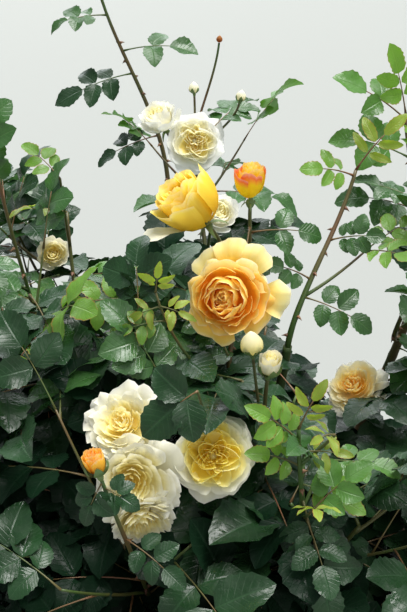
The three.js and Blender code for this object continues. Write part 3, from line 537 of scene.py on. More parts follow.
# Where a ring shoot may leave a cane: the first step, the steps to the cane's tip, the room it needs,
# and how far it is below the shoot's own tip.
SEAT = {"first": 2, "steps": 30, "room": 28, "below": 60}
FLOWER_BASE = {"rosette": 0.3, "guard": 0.3, "quartered": 0.3, "blowsy": 0.3, "cup": 0.42, "goblet": 0.42,
               "loose": 0.42, "tall": 0.42, "opening": 0.6, "bud": 0.6, "hip": 0.6}
# Petals that belong to the flower before them, with no stalk or calyx of their own.
PART_KINDS = ("loose", "tall", "guard")


def seat_for(tip, taken):
    """The limb and the place on it that are nearest to a ring shoot's tip, below it and away from
    the seats that are taken."""
    best = None
    for limb in limbs.values():
        for step in range(SEAT["first"], SEAT["steps"] + 1):
            at = step / SEAT["steps"]
            spot = chord_point(limb["controls"], at)
            crowded = any(np.linalg.norm(other - spot) < SEAT["room"] for other in taken)
            if crowded or spot[2] > tip[2] - SEAT["below"]:
                continue
            cost = np.linalg.norm(spot - tip)
            if best is None or cost < best[0]:
                best = (cost, limb["name"], at, spot)
    return best


def plan_shoots():
    """Every shoot as a row: those that show, then the rings, each shoot at an even turn of its ring
    with a drawn shift and reach, left out where another already fills its place."""
    planned = []
    for number, (name, cane, at, twigs, tip, leaf_size, flowers) in enumerate(SHOOTS):
        planned.append({"name": name, "on": cane, "at": at, "twigs": twigs, "tip": tip,
                        "leaf_size": leaf_size, "flowers": flowers, "seed": number + 1})
    taken = [chord_point(limbs[row["on"]]["controls"], row["at"]) for row in planned]
    filled = [np.array(row["flowers"][0][1] if row["flowers"] else row["tip"], float) for row in planned]
    for ring, (height, reach, count, phase, twigs) in enumerate(RINGS):
        for number in range(count):
            draw = draws_for(SEEDS["ring"] + ring, number)
            angle = phase + 2 * pi * (number + RING["shift"] * (draw() - 0.5)) / count
            drop = 1 - LOW_SIDE["drop"] * max(0, cos(angle - LOW_SIDE["bearing"]))
            away = reach * (RING["least"] + RING["spread"] * draw())
            tip = np.array([away * cos(angle), away * sin(angle), height * drop])
            if any(np.linalg.norm(other - tip) < RING["room"] for other in filled):
                continue
            _, cane, at, spot = seat_for(tip, taken)
            taken.append(spot)
            filled.append(tip)
            rise = RING["facing_rise"] + RING["rise_by_ring"] * ring
            facing = unit(np.array([cos(angle), sin(angle), rise]))
            flowers = []
            if (ring, number) in RING_FLOWERS:
                kind, size, tone = RING_FLOWERS[ring, number]
                flowers = [(kind, tip, facing, size, tone)]
            planned.append({"name": f"shoot_ring_{ring + 1}_{number + 1}", "on": cane, "at": at,
                            "twigs": twigs, "tip": tip, "leaf_size": RING["leaf_size"], "flowers": flowers,
                            "seed": SEEDS["ring_shoot"] + 10 * ring + number})
    return planned


def with_stem(shoot):
    """Gives a shoot its flowers' places and its stem, which ends at its first flower's calyx or at
    its own tip, rising a little."""
    flowers = []
    for kind, centre, facing, size, tone in shoot["flowers"]:
        facing = unit(np.array(facing, float))
        centre = np.array(centre, float)
        flowers.append({"kind": kind, "centre": centre, "facing": facing, "size": size, "tone": tone,
                        "calyx": centre - FLOWER_BASE[kind] * size * facing})
    carrier = limbs[shoot["on"]]
    end = flowers[0]["calyx"] if flowers else np.array(shoot["tip"], float)
    heading = unit(end - on_bezier(carrier["controls"], shoot["at"]))
    finish = flowers[0]["facing"] if flowers else unit(heading + STEM["finish_rise"] * UP)
    controls = offshoot(carrier, shoot["at"], end, finish)
    axis = on_bezier(controls, np.linspace(0, 1, STEM["steps"] + 1))
    measured = on_bezier(controls, np.linspace(0, 1, STEM["measured_at"]))
    length = np.linalg.norm(np.diff(measured, axis=0), axis=1).sum()
    return {**shoot, "flowers": flowers, "controls": controls, "axis": axis, "length": length}


def segment_distance(points, starts, stops):
    """The distance from each point to each of some straight pieces, (points, pieces)."""
    spans = stops - starts
    share = np.einsum("pqi,qi->pq", points[:, None] - starts, spans) / np.einsum("qi,qi->q", spans, spans)
    nearest = starts + np.clip(share, 0, 1)[..., None] * spans
    return np.linalg.norm(points[:, None] - nearest, axis=-1)


def in_crown(points, lowest):
    """Whether each point is inside the crown's outline and above its lowest level."""
    reach = np.interp(points[..., 2], *np.array(CROWN, float).T)
    return (np.hypot(points[..., 0], points[..., 1]) < reach) & (points[..., 2] > lowest)


def in_own_space(points, shoot):
    """Whether each point is inside the crown's outline, and nearer to its own stem than to any
    other, within a lap."""
    axes = np.array([row["axis"] for row in shoots])
    distance = segment_distance(points, axes[:, :-1].reshape(-1, 3), axes[:, 1:].reshape(-1, 3))
    least = distance.reshape(len(points), len(shoots), -1).min(-1)
    own = least[:, shoots.index(shoot)]
    others = np.delete(least, shoots.index(shoot), axis=1).min(-1)
    return in_crown(points, LOWEST_TWIG) & (others > own - SPACE_LAP)


shoots = [with_stem(row) for row in plan_shoots()]
shoot_nodes = [row["name"] for row in shoots]


def aside_of(direction, angle):
    """The unit vector that leaves a direction sideways at an angle round it."""
    level, lift = across(direction, level_across(direction))
    return cos(angle) * level + sin(angle) * lift


def grow_twigs(shoot):
    """Side twigs of a stem by the seeded rule: each leaves at a drawn place by the next golden
    angle, leans out and up, and is skipped where it would leave the shoot's own space."""
    grown = []
    for number in range(TWIG["tries"]):
        if len(grown) == shoot["twigs"] + FINE_TWIGS.get(shoot["name"], MOST_FINE_TWIGS):
            break
        draw = draws_for(shoot["seed"], number)
        at = TWIG["lowest"] + TWIG["stretch"] * draw()
        length = min(TWIG["longest"], TWIG["share"] * shoot["length"])
        length = length * (TWIG["least"] + TWIG["spread"] * draw())
        tangent = along_bezier(shoot["controls"], at)
        way = unit(tangent + TWIG["lean"] * aside_of(tangent, GOLDEN_ANGLE * (number + shoot["seed"])))
        way = unit(way + TWIG["rise"] * UP)
        foot = on_bezier(shoot["controls"], at)
        shares = np.linspace(0, 1, TWIG_RINGS)[:, None]
        path = foot + shares * length * way + TWIG["lift"] * length * shares**2 * UP
        if in_own_space(path[-2:], shoot).all():
            grown.append({"path": path, "length": length, "shoot": shoot, "at": at, "leaves": None})
    for at, tip, leaves in SET_TWIGS.get(shoot["name"], []):
        foot = on_bezier(shoot["controls"], at)
        shares = np.linspace(0, 1, TWIG_RINGS)[:, None]
        way = np.array(tip, float) - foot
        length = np.linalg.norm(way)
        path = foot + shares * way + TWIG["bow"] * shares * (1 - shares) * length * unit(way * [1, 1, 0])
        grown.append({"path": path, "length": length, "shoot": shoot, "at": at, "leaves": leaves})
    return grown


def flower_stalks(shoot):
    """The curves that carry a shoot's later flowers, from its stem to each calyx."""
    made = []
    for number, flower in enumerate(shoot["flowers"][1:], 1):
        if flower["kind"] in PART_KINDS:
            continue
        foot = on_bezier(shoot["controls"], FLOWER_STALK["from"] + FLOWER_STALK["apart"] * number)
        length = np.linalg.norm(flower["calyx"] - foot)
        way = along_bezier(shoot["controls"], FLOWER_STALK["from"])
        lower = foot + FLOWER_STALK["out_from_stem"] * length * way
        upper = flower["calyx"] - FLOWER_STALK["in_to_flower"] * length * flower["facing"]
        made.append(np.array([foot, lower, upper, flower["calyx"]]))
    return made


twigs = [twig for shoot in shoots for twig in grow_twigs(shoot)]
stalks = np.array([stalk for shoot in shoots for stalk in flower_stalks(shoot)])

# The leaves. Each is compound: a thin reddish stalk with three, five or seven toothed leaflets,
# folded a little along the midrib and drooping at the tip, glossy above. They are dealt out in
# tints by spray: darkest inside, low down and on the front-left, fresh green at the top, and
# yellow-green while young. The deep, dark and fresh tints are partly the leaves' own age and partly
# painted shade and painted light, picked by how much light a leaf's place gets.
LEAF = {"stalk": 84, "leaflet": 50, "sag": 0.16, "stalk_radius": 1.0, "taper": 0.5, "swollen_foot": 1.7,
        "stem_first": 18, "spacing": 32, "twig_first": 22, "twig_spacing": 25, "bare_below_flower": 42,
        "bare_tip": 8, "cane_first": 0.3, "cane_last": 0.98, "cane_spacing": 34}
# How far leaves lean from their stem, twig or cane, and their size there.
LEAF_LEANS = {"stem": 1.5, "stem_end": 0.2, "twig": 1.4, "cane": 1.6}
LEAF_SIZES = {"twig": 0.94, "cane": 1.05, "young": 0.8}
# What a leaf draws: how far it faces outwards (least and spread) and aside, the share of leaves with
# five leaflets and with five or seven, and its size (least and spread).
LEAF_DRAWS = {"outward": (0.05, 0.4), "aside": 0.6, "five": 0.74, "five_or_seven": 0.9, "size": (0.84, 0.3)}
LEAF_PATTERNS = {
    # leaflets: (place along the stalk, side, angle from the stalk, size)
    3: [(0.62, 1, 1.15, 0.86), (0.62, -1, 1.15, 0.86), (1, 0, 0, 1.05)],
    5: [(0.42, 1, 1.2, 0.78), (0.42, -1, 1.2, 0.78), (0.72, 1, 1.1, 0.92), (0.72, -1, 1.1, 0.92),
        (1, 0, 0, 1)],
    7: [(0.34, 1, 1.25, 0.66), (0.34, -1, 1.25, 0.66), (0.57, 1, 1.18, 0.80), (0.57, -1, 1.18, 0.80),
        (0.79, 1, 1.1, 0.88), (0.79, -1, 1.1, 0.88), (1, 0, 0, 0.94)],
}
LEAFLET_ROWS = 13
LEAFLET_COLUMNS = 5
# A leaflet's uneven turn, lift and size; how far it rises from the stalk; how it faces outwards and
# tips; how far its root is from the stalk; and how unlike the next leaflet it is.
LEAFLET = {"turn": 0.12, "lift": 0.10, "size": 0.07, "rise": 0.12, "out": 0.18, "out_uneven": 0.15,
           "tip": 0.2, "root": 1.5, "apart": 2.3}
# A blade's outline, teeth, droop, fold along the midrib and wave along the margin. Droop and fold are
# each a least value and a spread.
BLADE = {"foot_power": 0.58, "tip_power": 0.74, "least_width": 0.02, "uneven_width": 0.12, "teeth": 0.055,
         "toothed_from": 0.9, "droop": (0.35, 0.55), "fold": (0.22, 0.2), "fold_power": 1.3, "wave": 0.045,
         "waves": 9, "wave_slant": 1.3}
STALK_RINGS = 7
STALK_SIDES = 4
TINTS = {
    # name: colour of the blade, of its veins, of its margin, roughness, gloss, share of light let
    # through
    # deep and dark are partly painted shade, for leaves low down, inside and on the shaded side; deep's low
    # gloss is painted shade too, a sheen taken away there
    "deep": ((0.0045, 0.016, 0.007), (0.010, 0.027, 0.013), (0.0045, 0.016, 0.007), 0.32, 0.09, 0.03),
    "dark": ((0.013, 0.042, 0.014), (0.026, 0.070, 0.027), (0.013, 0.042, 0.014), 0.27, 0.36, 0.07),
    "mid": ((0.034, 0.098, 0.024), (0.064, 0.15, 0.042), (0.034, 0.098, 0.024), 0.28, 0.55, 0.15),
    "fresh": ((0.070, 0.175, 0.034), (0.11, 0.23, 0.06), (0.09, 0.16, 0.032), 0.30, 0.55, 0.24),
    "young": ((0.12, 0.25, 0.035), (0.18, 0.31, 0.06), (0.30, 0.15, 0.04), 0.33, 0.45, 0.30),
    "tinged": ((0.22, 0.30, 0.04), (0.30, 0.28, 0.06), (0.42, 0.09, 0.04), 0.33, 0.45, 0.32),
}
TINT_NAMES = list(TINTS)
FRESH, YOUNG = TINT_NAMES.index("fresh"), TINT_NAMES.index("young")
BREADTH = 0.66
BREADTHS = {"young": 0.56, "tinged": 0.34}  # the youngest leaflets are still narrow
# By height: the size of leaves there, and the share of leaf places that are bare there.
LEAF_GROWTH = ((600, 820, 900, 960, 1100), (1.34, 1.24, 1.0, 0.86, 0.80))
LEAF_LOSS = ((860, 960, 1100), (0.0, 0.38, 0.5))
# Leaves placed one by one on a shoot: share of its stem, the way they point, their size and tint, and
# for some the length of their stalk against a usual leaf's.
SET_LEAVES = {
    "shoot_tall": [
        (0.25, (-0.95, -0.2, -0.15), 1.1, "dark"), (0.56, (-0.95, -0.15, -0.12), 1.25, "dark"),
        (0.67, (0.9, -0.2, 0.3), 1.2, "mid"), (0.84, (-0.8, -0.3, 0.1), 0.9, "mid"),
        (0.92, (0.85, 0.2, 0.3), 1, "mid"), (1, (-0.3, -0.1, 0.95), 1.6, "fresh"),
    ],
    "shoot_right_cane": [
        (0.4, (-0.75, -0.2, 0.6), 1, "mid"), (0.3, (0.9, -0.35, -0.1), 1, "mid"),
        (0.62, (0.85, -0.2, 0.35), 1, "mid"), (0.97, (-0.7, -0.3, 0.4), 1, "young"),
        (1, (0.5, 0, 0.85), 1, "tinged"),
    ],
    "shoot_top_right": [
        (0.5, (-0.85, -0.15, 0.45), 1, "mid"), (0.78, (-0.95, -0.1, 0.55), 1.3, "fresh"),
        (0.85, (0.7, -0.5, 0.4), 1, "mid"), (0.97, (-0.75, -0.1, 0.72), 1.45, "fresh"),
        (1, (-0.2, -0.1, 0.95), 1, "young"),
    ],
    "shoot_young_right": [
        (1, (0.3, -0.1, 0.95), 1, "tinged"), (0.92, (-0.55, -0.2, 0.75), 1.1, "young"),
        (0.84, (0.9, -0.3, 0.35), 1, "tinged"), (0.74, (-0.7, -0.3, 0.62), 0.85, "young"),
        (0.6, (0.85, -0.4, 0), 0.8, "young"), (0.48, (0.25, -0.6, -0.7), 1.6, "dark"),
    ],
    "shoot_golden_bloom": [(0.52, (-0.95, -1.2, 0.06), 1.2, "dark"), (0.42, (-0.2, -1.3, 0.60), 1.1, "dark")],
    "shoot_orange_bud": [
        (0.96, (0.8, -0.55, 0.05), 0.34, "dark", 0.5), (0.98, (-0.5, -0.5, -0.7), 0.38, "dark", 0.5),
        (0.78, (0.8, -0.62, -0.12), 0.5, "dark"), (0.4, (-0.6, -0.6, -0.6), 0.6, "mid"),
    ],
    "shoot_centre_left": [(1, (-0.85, -0.35, 0.25), 0.62, "young"), (0.9, (-0.5, -0.7, -0.2), 0.6, "young")],
    "shoot_left_mid": [(0.8, (-0.3, -0.9, 0.1), 1.45, "dark"), (0.95, (0.3, -0.9, 0.2), 1.2, "dark")],
    "shoot_faded_right": [(0.94, (0.35, -0.8, 0.55), 0.85, "dark", 0.6)],
    "shoot_opening_bud": [(0.9, (1, -0.1, 0.25), 0.8, "mid"), (0.92, (-0.15, -0.9, -0.45), 0.8, "dark")],
}
# The stems of these shoots have no other leaves.
SET_SHOOTS = ("shoot_tall", "shoot_right_cane", "shoot_top_right", "shoot_young_right")
YOUNG_SHOOTS = ("shoot_young_left", "shoot_young_right", "shoot_right_cane")
# Gaps where the crown is open from front to back, as seen from the front: the point in the middle
# of each, across and up, and its radius.
GAPS = [(144, 868, 40), (158, 811, 28), (158, 948, 27), (-112, 1036, 38), (-109, 972, 30), (116, 1013, 24),
        (26, 1162, 31)]
LEVELLED = np.array([1, 1, 0.6])  # leaves point more level than the wood they grow on
SET_LEAN = 0.75  # leaves that are set face the front by this much
# A leaf's mood is a number from 0 to 1 drawn for it: how far it moves on from leaflet to leaflet, and
# how it is spread into their unevenness, droop, fold and wave.
MOOD = {"step": 0.137, "uneven": 97, "droop": 41, "fold": 29, "wave": 6 * pi}
TO_FRONT = np.array([0, -1, 0])
# Leaves towards this side, the front-left, get darker tints: painted shade.
SHADE_SIDE = np.array([-0.8, -0.6, 0])
YOUNG_FROM = 860
# The light on a leaf: height and reach, each from a middle value and over a span, how much is drawn,
# and how far into the shaded side it falls by one, below the level of the young leaves and above it.
LIGHT = {"height": (560, 190), "reach": (190, 210), "drawn": 1.3, "shade": (180, 400)}
# The light at which the tints part, below that level and above it.
TINT_STEPS = ((0.6, 1.75, 9), (0.6, 1.75, 2.9))
YOUNG_SHOOT = {"age": 0.35, "steps": (0.25, 0.75)}
YOUNG_TIP = {"age": 0.9, "light": 1.4, "chance": 0.5}
LOWEST_LEAF = 25
# Room round a flower as a share of its size, a margin, and how long the free lines are that leave it
# before its face and towards the eye.
CLEARING = {"room": 0.56, "skin": 0.08, "margin": 4, "before": 160, "sight": 420}
# The leaves of twigs that are set one by one: place along the twig, the way they point, their size,
# tint, the length of their stalk against a usual leaf's, and for some how many leaflets they have.
TWIG_LEAVES = {
    "new": [(0.75, (-0.9, -0.3, 0.1), 0.42, "young", 1), (0.88, (0.7, -0.4, 0.1), 0.42, "tinged", 0.6),
            (0.92, (-0.9, -0.2, -0.1), 0.55, "tinged", 0.5), (1, (0.1, -0.2, 1), 0.5, "tinged", 0.6)],
    "grown": [(1, (-0.87, -0.30, -0.33), 0.96, "dark", 0.22, 3)],
}
CAMERA_MM = np.array(CAMERA_PLACE) / MM


def tint_of(shoot, foot, age, draw):
    """The number of a leaf's tint: deeper low down, near the middle and on the shaded side, as
    painted shade where its place gets less light, and younger near a shoot's tip.
    """
    high = int(foot[2] > YOUNG_FROM)
    (level, height), (ring, reach) = LIGHT["height"], LIGHT["reach"]
    light = (foot[2] - level) / height + (np.hypot(foot[0], foot[1]) - ring) / reach
    light += LIGHT["drawn"] * (draw() - 0.5)
    light -= max(0, foot @ SHADE_SIDE) / LIGHT["shade"][high]
    if shoot and shoot["name"] in YOUNG_SHOOTS and age > YOUNG_SHOOT["age"]:
        return int(np.digitize(draw(), YOUNG_SHOOT["steps"])) + FRESH
    at_tip = shoot and not shoot["flowers"] and age > YOUNG_TIP["age"]
    if at_tip and light > YOUNG_TIP["light"] and high and draw() < YOUNG_TIP["chance"]:
        return YOUNG
    return int(np.digitize(light, TINT_STEPS[high]))


def leaf_row(shoot, foot, toward, size, age, draw, lean=0.0):
    """One leaf before it is tested: where it grows, its way, the light it faces and its make-up."""
    forward = unit(np.array(toward, float))
    outward = unit(np.array([foot[0], foot[1], 0]) + 1e-6)
    least, spread = LEAF_DRAWS["outward"]
    light = UP + (least + spread * draw()) * outward
    light = light + LEAF_DRAWS["aside"] * (draw() - 0.5) * aside_of(forward, 0)
    light = light + lean * TO_FRONT
    size = size * np.interp(foot[2], *LEAF_GROWTH)
    side = unit(np.cross(forward, light))
    pick = draw()
    count = 5 if pick < LEAF_DRAWS["five"] else (7 if pick < LEAF_DRAWS["five_or_seven"] else 3)
    least, spread = LEAF_DRAWS["size"]
    size = size * (least + spread * draw())
    tint = tint_of(shoot, foot, age, draw)
    return {"foot": foot, "forward": forward, "side": side, "tint": tint, "draw": draw(), "count": count,
            "size": size * (LEAF_SIZES["young"] if tint > FRESH else 1), "shoot": shoot, "age": age,
            "twig": None, "stalk": 1, "set": False}


def set_twig_leaves(shoot, twig):
    """The leaves of a twig that is set by itself."""
    rows = []
    for number, (share, toward, size, tint, stalk, *count) in enumerate(TWIG_LEAVES[twig["leaves"]]):
        foot = twig["path"][min(TWIG_RINGS - 1, round(share * (TWIG_RINGS - 1)))]
        draw = draws_for(shoot["seed"], SEEDS["twig_set_leaf"] + number)
        row = leaf_row(shoot, foot, toward, size, 1, draw, SET_LEAN)
        row["count"] = count[0] if count else row["count"]
        rows.append({**row, "tint": TINT_NAMES.index(tint), "stalk": stalk, "twig": twig, "set": True})
    return rows


def twig_leaves(shoot, twig, order):
    """The leaves of a twig: one at each node, turned by the golden angle from the last, and one
    that ends it."""
    rows = []
    path, seed = twig["path"], shoot["seed"]
    for number, travelled in enumerate(np.arange(LEAF["twig_first"], twig["length"], LEAF["twig_spacing"])):
        draw = draws_for(seed, SEEDS["twig_leaf"] + 20 * order + number)
        spot = travelled / twig["length"] * (TWIG_RINGS - 1)
        piece = min(TWIG_RINGS - 2, int(spot))
        step = path[piece + 1] - path[piece]
        aside = LEAF_LEANS["twig"] * aside_of(unit(step), GOLDEN_ANGLE * (number + order + seed))
        if draw() < np.interp(path[piece][2], *LEAF_LOSS):
            continue
        toward = (unit(step) + aside) * LEVELLED
        size = LEAF_SIZES["twig"] * shoot["leaf_size"]
        foot = path[piece] + (spot - piece) * step
        row = leaf_row(shoot, foot, toward, size, travelled / twig["length"], draw)
        rows.append({**row, "twig": twig})
    draw = draws_for(seed, SEEDS["twig_end_leaf"] + order)
    row = leaf_row(shoot, path[-1], unit(path[-1] - path[-2]), shoot["leaf_size"], 1, draw)
    return [*rows, {**row, "twig": twig}]


def grow_leaves(shoot):
    """Leaves of one shoot: those set one by one, then one at each node of its stem and its twigs,
    turned by the golden angle from the last, and one that ends each twig and flowerless stem."""
    rows = []
    controls, length, seed = shoot["controls"], shoot["length"], shoot["seed"]
    for number, (at, toward, size, tint, *stalk) in enumerate(SET_LEAVES.get(shoot["name"], [])):
        draw = draws_for(seed, SEEDS["set_leaf"] + number)
        row = leaf_row(shoot, on_bezier(controls, at), toward, size * shoot["leaf_size"], at, draw, SET_LEAN)
        rows.append({**row, "tint": TINT_NAMES.index(tint), "stalk": stalk[0] if stalk else 1, "set": True})
    leafy = length - (LEAF["bare_below_flower"] if shoot["flowers"] else LEAF["bare_tip"])
    sites = np.arange(LEAF["stem_first"], leafy, LEAF["spacing"]) / length
    for number, at in enumerate([] if shoot["name"] in SET_SHOOTS else sites):
        draw = draws_for(seed, SEEDS["stem_leaf"] + number)
        tangent = along_bezier(controls, at)
        aside = LEAF_LEANS["stem"] * aside_of(tangent, GOLDEN_ANGLE * (number + 2 * seed))
        if draw() > np.interp(on_bezier(controls, at)[2], *LEAF_LOSS):
            toward = (tangent + aside) * LEVELLED
            rows.append(leaf_row(shoot, on_bezier(controls, at), toward, shoot["leaf_size"], at, draw))
    if not shoot["flowers"] and shoot["name"] not in SET_SHOOTS:
        tangent = along_bezier(controls, 1.0)
        toward = tangent + LEAF_LEANS["stem_end"] * aside_of(tangent, seed)
        draw = draws_for(seed, SEEDS["stem_end_leaf"])
        rows.append(leaf_row(shoot, on_bezier(controls, 1.0), toward, shoot["leaf_size"], 1, draw))
    for order, twig in enumerate(row for row in twigs if row["shoot"] is shoot):
        rows += twig_leaves(shoot, twig, order) if twig["leaves"] is None else set_twig_leaves(shoot, twig)
    return rows


def cane_leaves(limb, number):
    """Leaves on a bare cane between its shoots, above its lowest third."""
    rows = []
    span = np.linalg.norm(limb["controls"][3] - limb["controls"][0])
    sites = np.arange(LEAF["cane_first"], LEAF["cane_last"], LEAF["cane_spacing"] / span)
    for order, at in enumerate(sites):
        draw = draws_for(SEEDS["cane_leaf"] + number, order)
        tangent = along_bezier(limb["controls"], at)
        aside = LEAF_LEANS["cane"] * aside_of(tangent, GOLDEN_ANGLE * (order + number))
        toward = (tangent + aside) * LEVELLED
        rows.append(leaf_row(None, on_bezier(limb["controls"], at), toward, LEAF_SIZES["cane"], 0, draw))
    return rows


def stalk_points(rows, shares):
    """Points and tangents along each leaf's stalk at shares of it: straight out from its foot, and
    down by the square of the share as it sags."""
    foot = np.array([row["foot"] for row in rows])
    forward = np.array([row["forward"] for row in rows])
    length = LEAF["stalk"] * np.array([row["size"] * row["stalk"] for row in rows])
    t = np.asarray(shares, float)[None, :, None]
    reach = length[:, None, None]
    points = foot[:, None] + forward[:, None] * reach * t - LEAF["sag"] * reach * t**2 * UP
    return points, unit(forward[:, None] - 2 * LEAF["sag"] * t * UP)


def leaflet_rows(rows):
    """Every leaflet of some leaves of one pattern, as arrays over (leaf, leaflet): its root, its
    way, the way it faces and its length. Side leaflets swing forward from the stalk and rise."""
    pattern = LEAF_PATTERNS[rows[0]["count"]]
    shares = [place for place, _, _, _ in pattern]
    hand = np.array([side for _, side, _, _ in pattern], float)[None, :, None]
    swing = np.array([angle for _, _, angle, _ in pattern])[None, :, None]
    scale = np.array([size for _, _, _, size in pattern])[None]
    roots, tangents = stalk_points(rows, shares)
    side = np.array([row["side"] for row in rows])[:, None]
    side = unit(side - dot(side, tangents) * tangents)
    normal = np.cross(side, tangents)
    size = np.array([row["size"] for row in rows])[:, None]
    mood = np.array([row["draw"] for row in rows])[:, None]
    jitter = np.sin(MOOD["uneven"] * mood + LEAFLET["apart"] * np.arange(len(pattern))[None])[..., None]
    angle = swing + LEAFLET["turn"] * jitter
    ways = np.cos(angle) * tangents + hand * np.sin(angle) * side + LEAFLET["lift"] * jitter * normal
    ways = unit(ways + LEAFLET["rise"] * np.abs(hand) * normal)
    out = LEAFLET["out"] + LEAFLET["out_uneven"] * jitter
    faces = normal - out * hand * side + LEAFLET["tip"] * jitter * tangents
    faces = unit(faces - dot(faces, ways) * ways)
    lengths = LEAF["leaflet"] * size * scale * (1 + LEAFLET["size"] * jitter[..., 0])
    return roots + LEAFLET["root"] * ways * np.abs(hand), ways, faces, lengths


def leaflet_blades(roots, ways, faces, lengths, moods, breadth):
    """Leaflets, (n, rows, columns, 3). The half-width at a share t of the length follows
    t^0.58 (1-t)^0.74 times a breadth, and steps out and in for the teeth. The blade bends down by
    an angle that grows with t, is lifted at the edges into a shallow fold, and waves a little along
    its margin."""
    t = np.linspace(0, 1, LEAFLET_ROWS)[None, :, None]
    s = np.linspace(-1, 1, LEAFLET_COLUMNS)[None, None, :]
    mood = moods[:, None, None]
    length = lengths[:, None, None]
    outline = t ** BLADE["foot_power"] * (1 - t) ** BLADE["tip_power"]
    outline = outline / outline.max()
    tooth = np.where(np.arange(LEAFLET_ROWS) % 2, 1, -1)[None, :, None]
    teeth = 1 + BLADE["teeth"] * tooth * (np.abs(s) > BLADE["toothed_from"])
    half = 0.5 * (breadth + BLADE["uneven_width"] * mood) * length
    half = half * np.maximum(outline, BLADE["least_width"]) * teeth
    least, spread = BLADE["droop"]
    droop = least + spread * np.sin(MOOD["droop"] * mood) ** 2
    forward = length * np.sin(droop * t) / droop
    down = length * (1 - np.cos(droop * t)) / droop
    least, spread = BLADE["fold"]
    fold = (least + spread * np.sin(MOOD["fold"] * mood)) * np.abs(s) ** BLADE["fold_power"] * half
    wave = np.sin(BLADE["waves"] * t + MOOD["wave"] * mood + BLADE["wave_slant"] * s)
    wave = BLADE["wave"] * length * wave * s**2 * np.sqrt(np.clip(outline, 0, 1))
    side = np.cross(ways, faces)
    height = (fold + wave - down)[..., None]
    place = roots[:, None, None] + forward[..., None] * ways[:, None, None]
    return place + (s * half)[..., None] * side[:, None, None] + height * faces[:, None, None]


def clear_of_flowers(points):
    """Whether each point keeps off every flower, the space in front of its face, and the line of
    sight to it from the front."""
    clear = np.ones(len(points), bool)
    for shoot in shoots:
        shown = shoot["seed"] <= len(SHOOTS)
        for flower in shoot["flowers"]:
            offset = points - flower["centre"]
            size = flower["size"]
            clear &= np.linalg.norm(offset, axis=1) > (CLEARING["room"] + CLEARING["skin"]) * size
            sight = unit(CAMERA_MM - flower["centre"])
            sight_reach = CLEARING["sight"] if shown else 0
            for way, reach in ((flower["facing"], CLEARING["before"]), (sight, sight_reach)):
                ahead = offset @ way
                off_axis = np.linalg.norm(offset - ahead[:, None] * way, axis=1)
                near = off_axis < CLEARING["room"] * size + CLEARING["margin"]
                clear &= ~((ahead > 0) & (ahead < reach) & near)
    return clear


def clear_of_gaps(points):
    """Whether each point keeps out of every gap, a cone whose point is the place of the eye."""
    clear = np.ones(len(points), bool)
    for x, z, radius in GAPS:
        sight = np.array([x, 0, z]) - CAMERA_MM
        reach = np.linalg.norm(sight)
        ahead = (points - CAMERA_MM) @ sight / reach
        off_axis = np.linalg.norm(points - CAMERA_MM - ahead[:, None] * sight / reach, axis=1)
        clear &= off_axis > radius * ahead / reach
    return clear


candidates = [row for shoot in shoots for row in grow_leaves(shoot)]
candidates += [row for number, limb in enumerate(limbs.values()) for row in cane_leaves(limb, number)]
leaf_rows = []
leaflets = {name: [] for name in TINT_NAMES}
for count in LEAF_PATTERNS:
    rows = [row for row in candidates if row["count"] == count]
    roots, ways, faces, lengths = leaflet_rows(rows)
    tips = roots + lengths[..., None] * ways
    middles = roots + 0.5 * lengths[..., None] * ways
    spots = np.concatenate([tips, middles], 1)
    inside = in_crown(spots, LOWEST_LEAF).all(1)
    flat = spots.reshape(-1, 3)
    clear = (clear_of_flowers(flat) & clear_of_gaps(flat)).reshape(len(rows), -1).all(1)
    kept = np.flatnonzero(inside & (clear | [row["set"] for row in rows]))
    leaf_rows += [rows[number] for number in kept]
    tints = np.array([rows[number]["tint"] for number in kept])
    moods = np.array([rows[number]["draw"] for number in kept])[:, None]
    moods = moods + MOOD["step"] * np.arange(count)[None]
    for number, name in enumerate(TINT_NAMES):
        chosen = kept[tints == number]
        if len(chosen):
            parts = (roots[chosen], ways[chosen], faces[chosen])
            flat = [part.reshape(-1, 3) for part in parts]
            mood = (moods[tints == number] % 1).ravel()
            breadth = BREADTHS.get(name, BREADTH)
            leaflets[name].append(leaflet_blades(*flat, lengths[chosen].ravel(), mood, breadth))

# The marks on a leaf, in shares of its breadth and length: where the midrib ends and the margin
# begins, how many side veins there are, how they slant, and how broad they are. Then how strongly
# the midrib and the veins are coloured and pressed in.
MARKS = {"midrib": 0.045, "veins": 8.0, "slant": 4.2, "vein": 0.14, "margin": 0.44, "margin_blend": 0.05,
         "midrib_colour": 0.8, "vein_colour": 0.3, "vein_depth": 0.32}
LEAF_RELIEF = {"Strength": 0.40, "Distance": 0.0012}
LEAF_SHADES = (0.72, 1.3)  # its colour drifts between these shares of the blade's
LEAF_WAX = (-0.10, 0.20)  # its roughness drifts between these, from the tint's
LEAF_GLOW = (2.2, 2.4, 0.8)  # the light that comes through, in shares of the blade's colour
# How fine each drift is, and the noise's values that its low and high end stand at.
DRIFTS = {"colour": 16, "wax": 70, "relief": 130}
DRIFT_LIMITS = {"From Min": 0.35, "From Max": 0.65}
GRAIN = 0.5  # how high the blade's grain stands against its midrib


def math(tree, operation, *values):
    """The output of a sum on plain values and other nodes' outputs."""
    return add_node(tree, "Math", dict(enumerate(values)), operation=operation).outputs[0]


def lit_through(tree, shader, colour, share):
    """Lets a share of the light through a thin sheet, in the colour given."""
    glow = add_node(tree, "BsdfTranslucent", {"Color": colour})
    mixed = add_node(tree, "MixShader", {"Fac": share, 1: shader.outputs["BSDF"], 2: glow.outputs["BSDF"]})
    tree.links.new(mixed.outputs["Shader"], tree.nodes["Material Output"].inputs["Surface"])


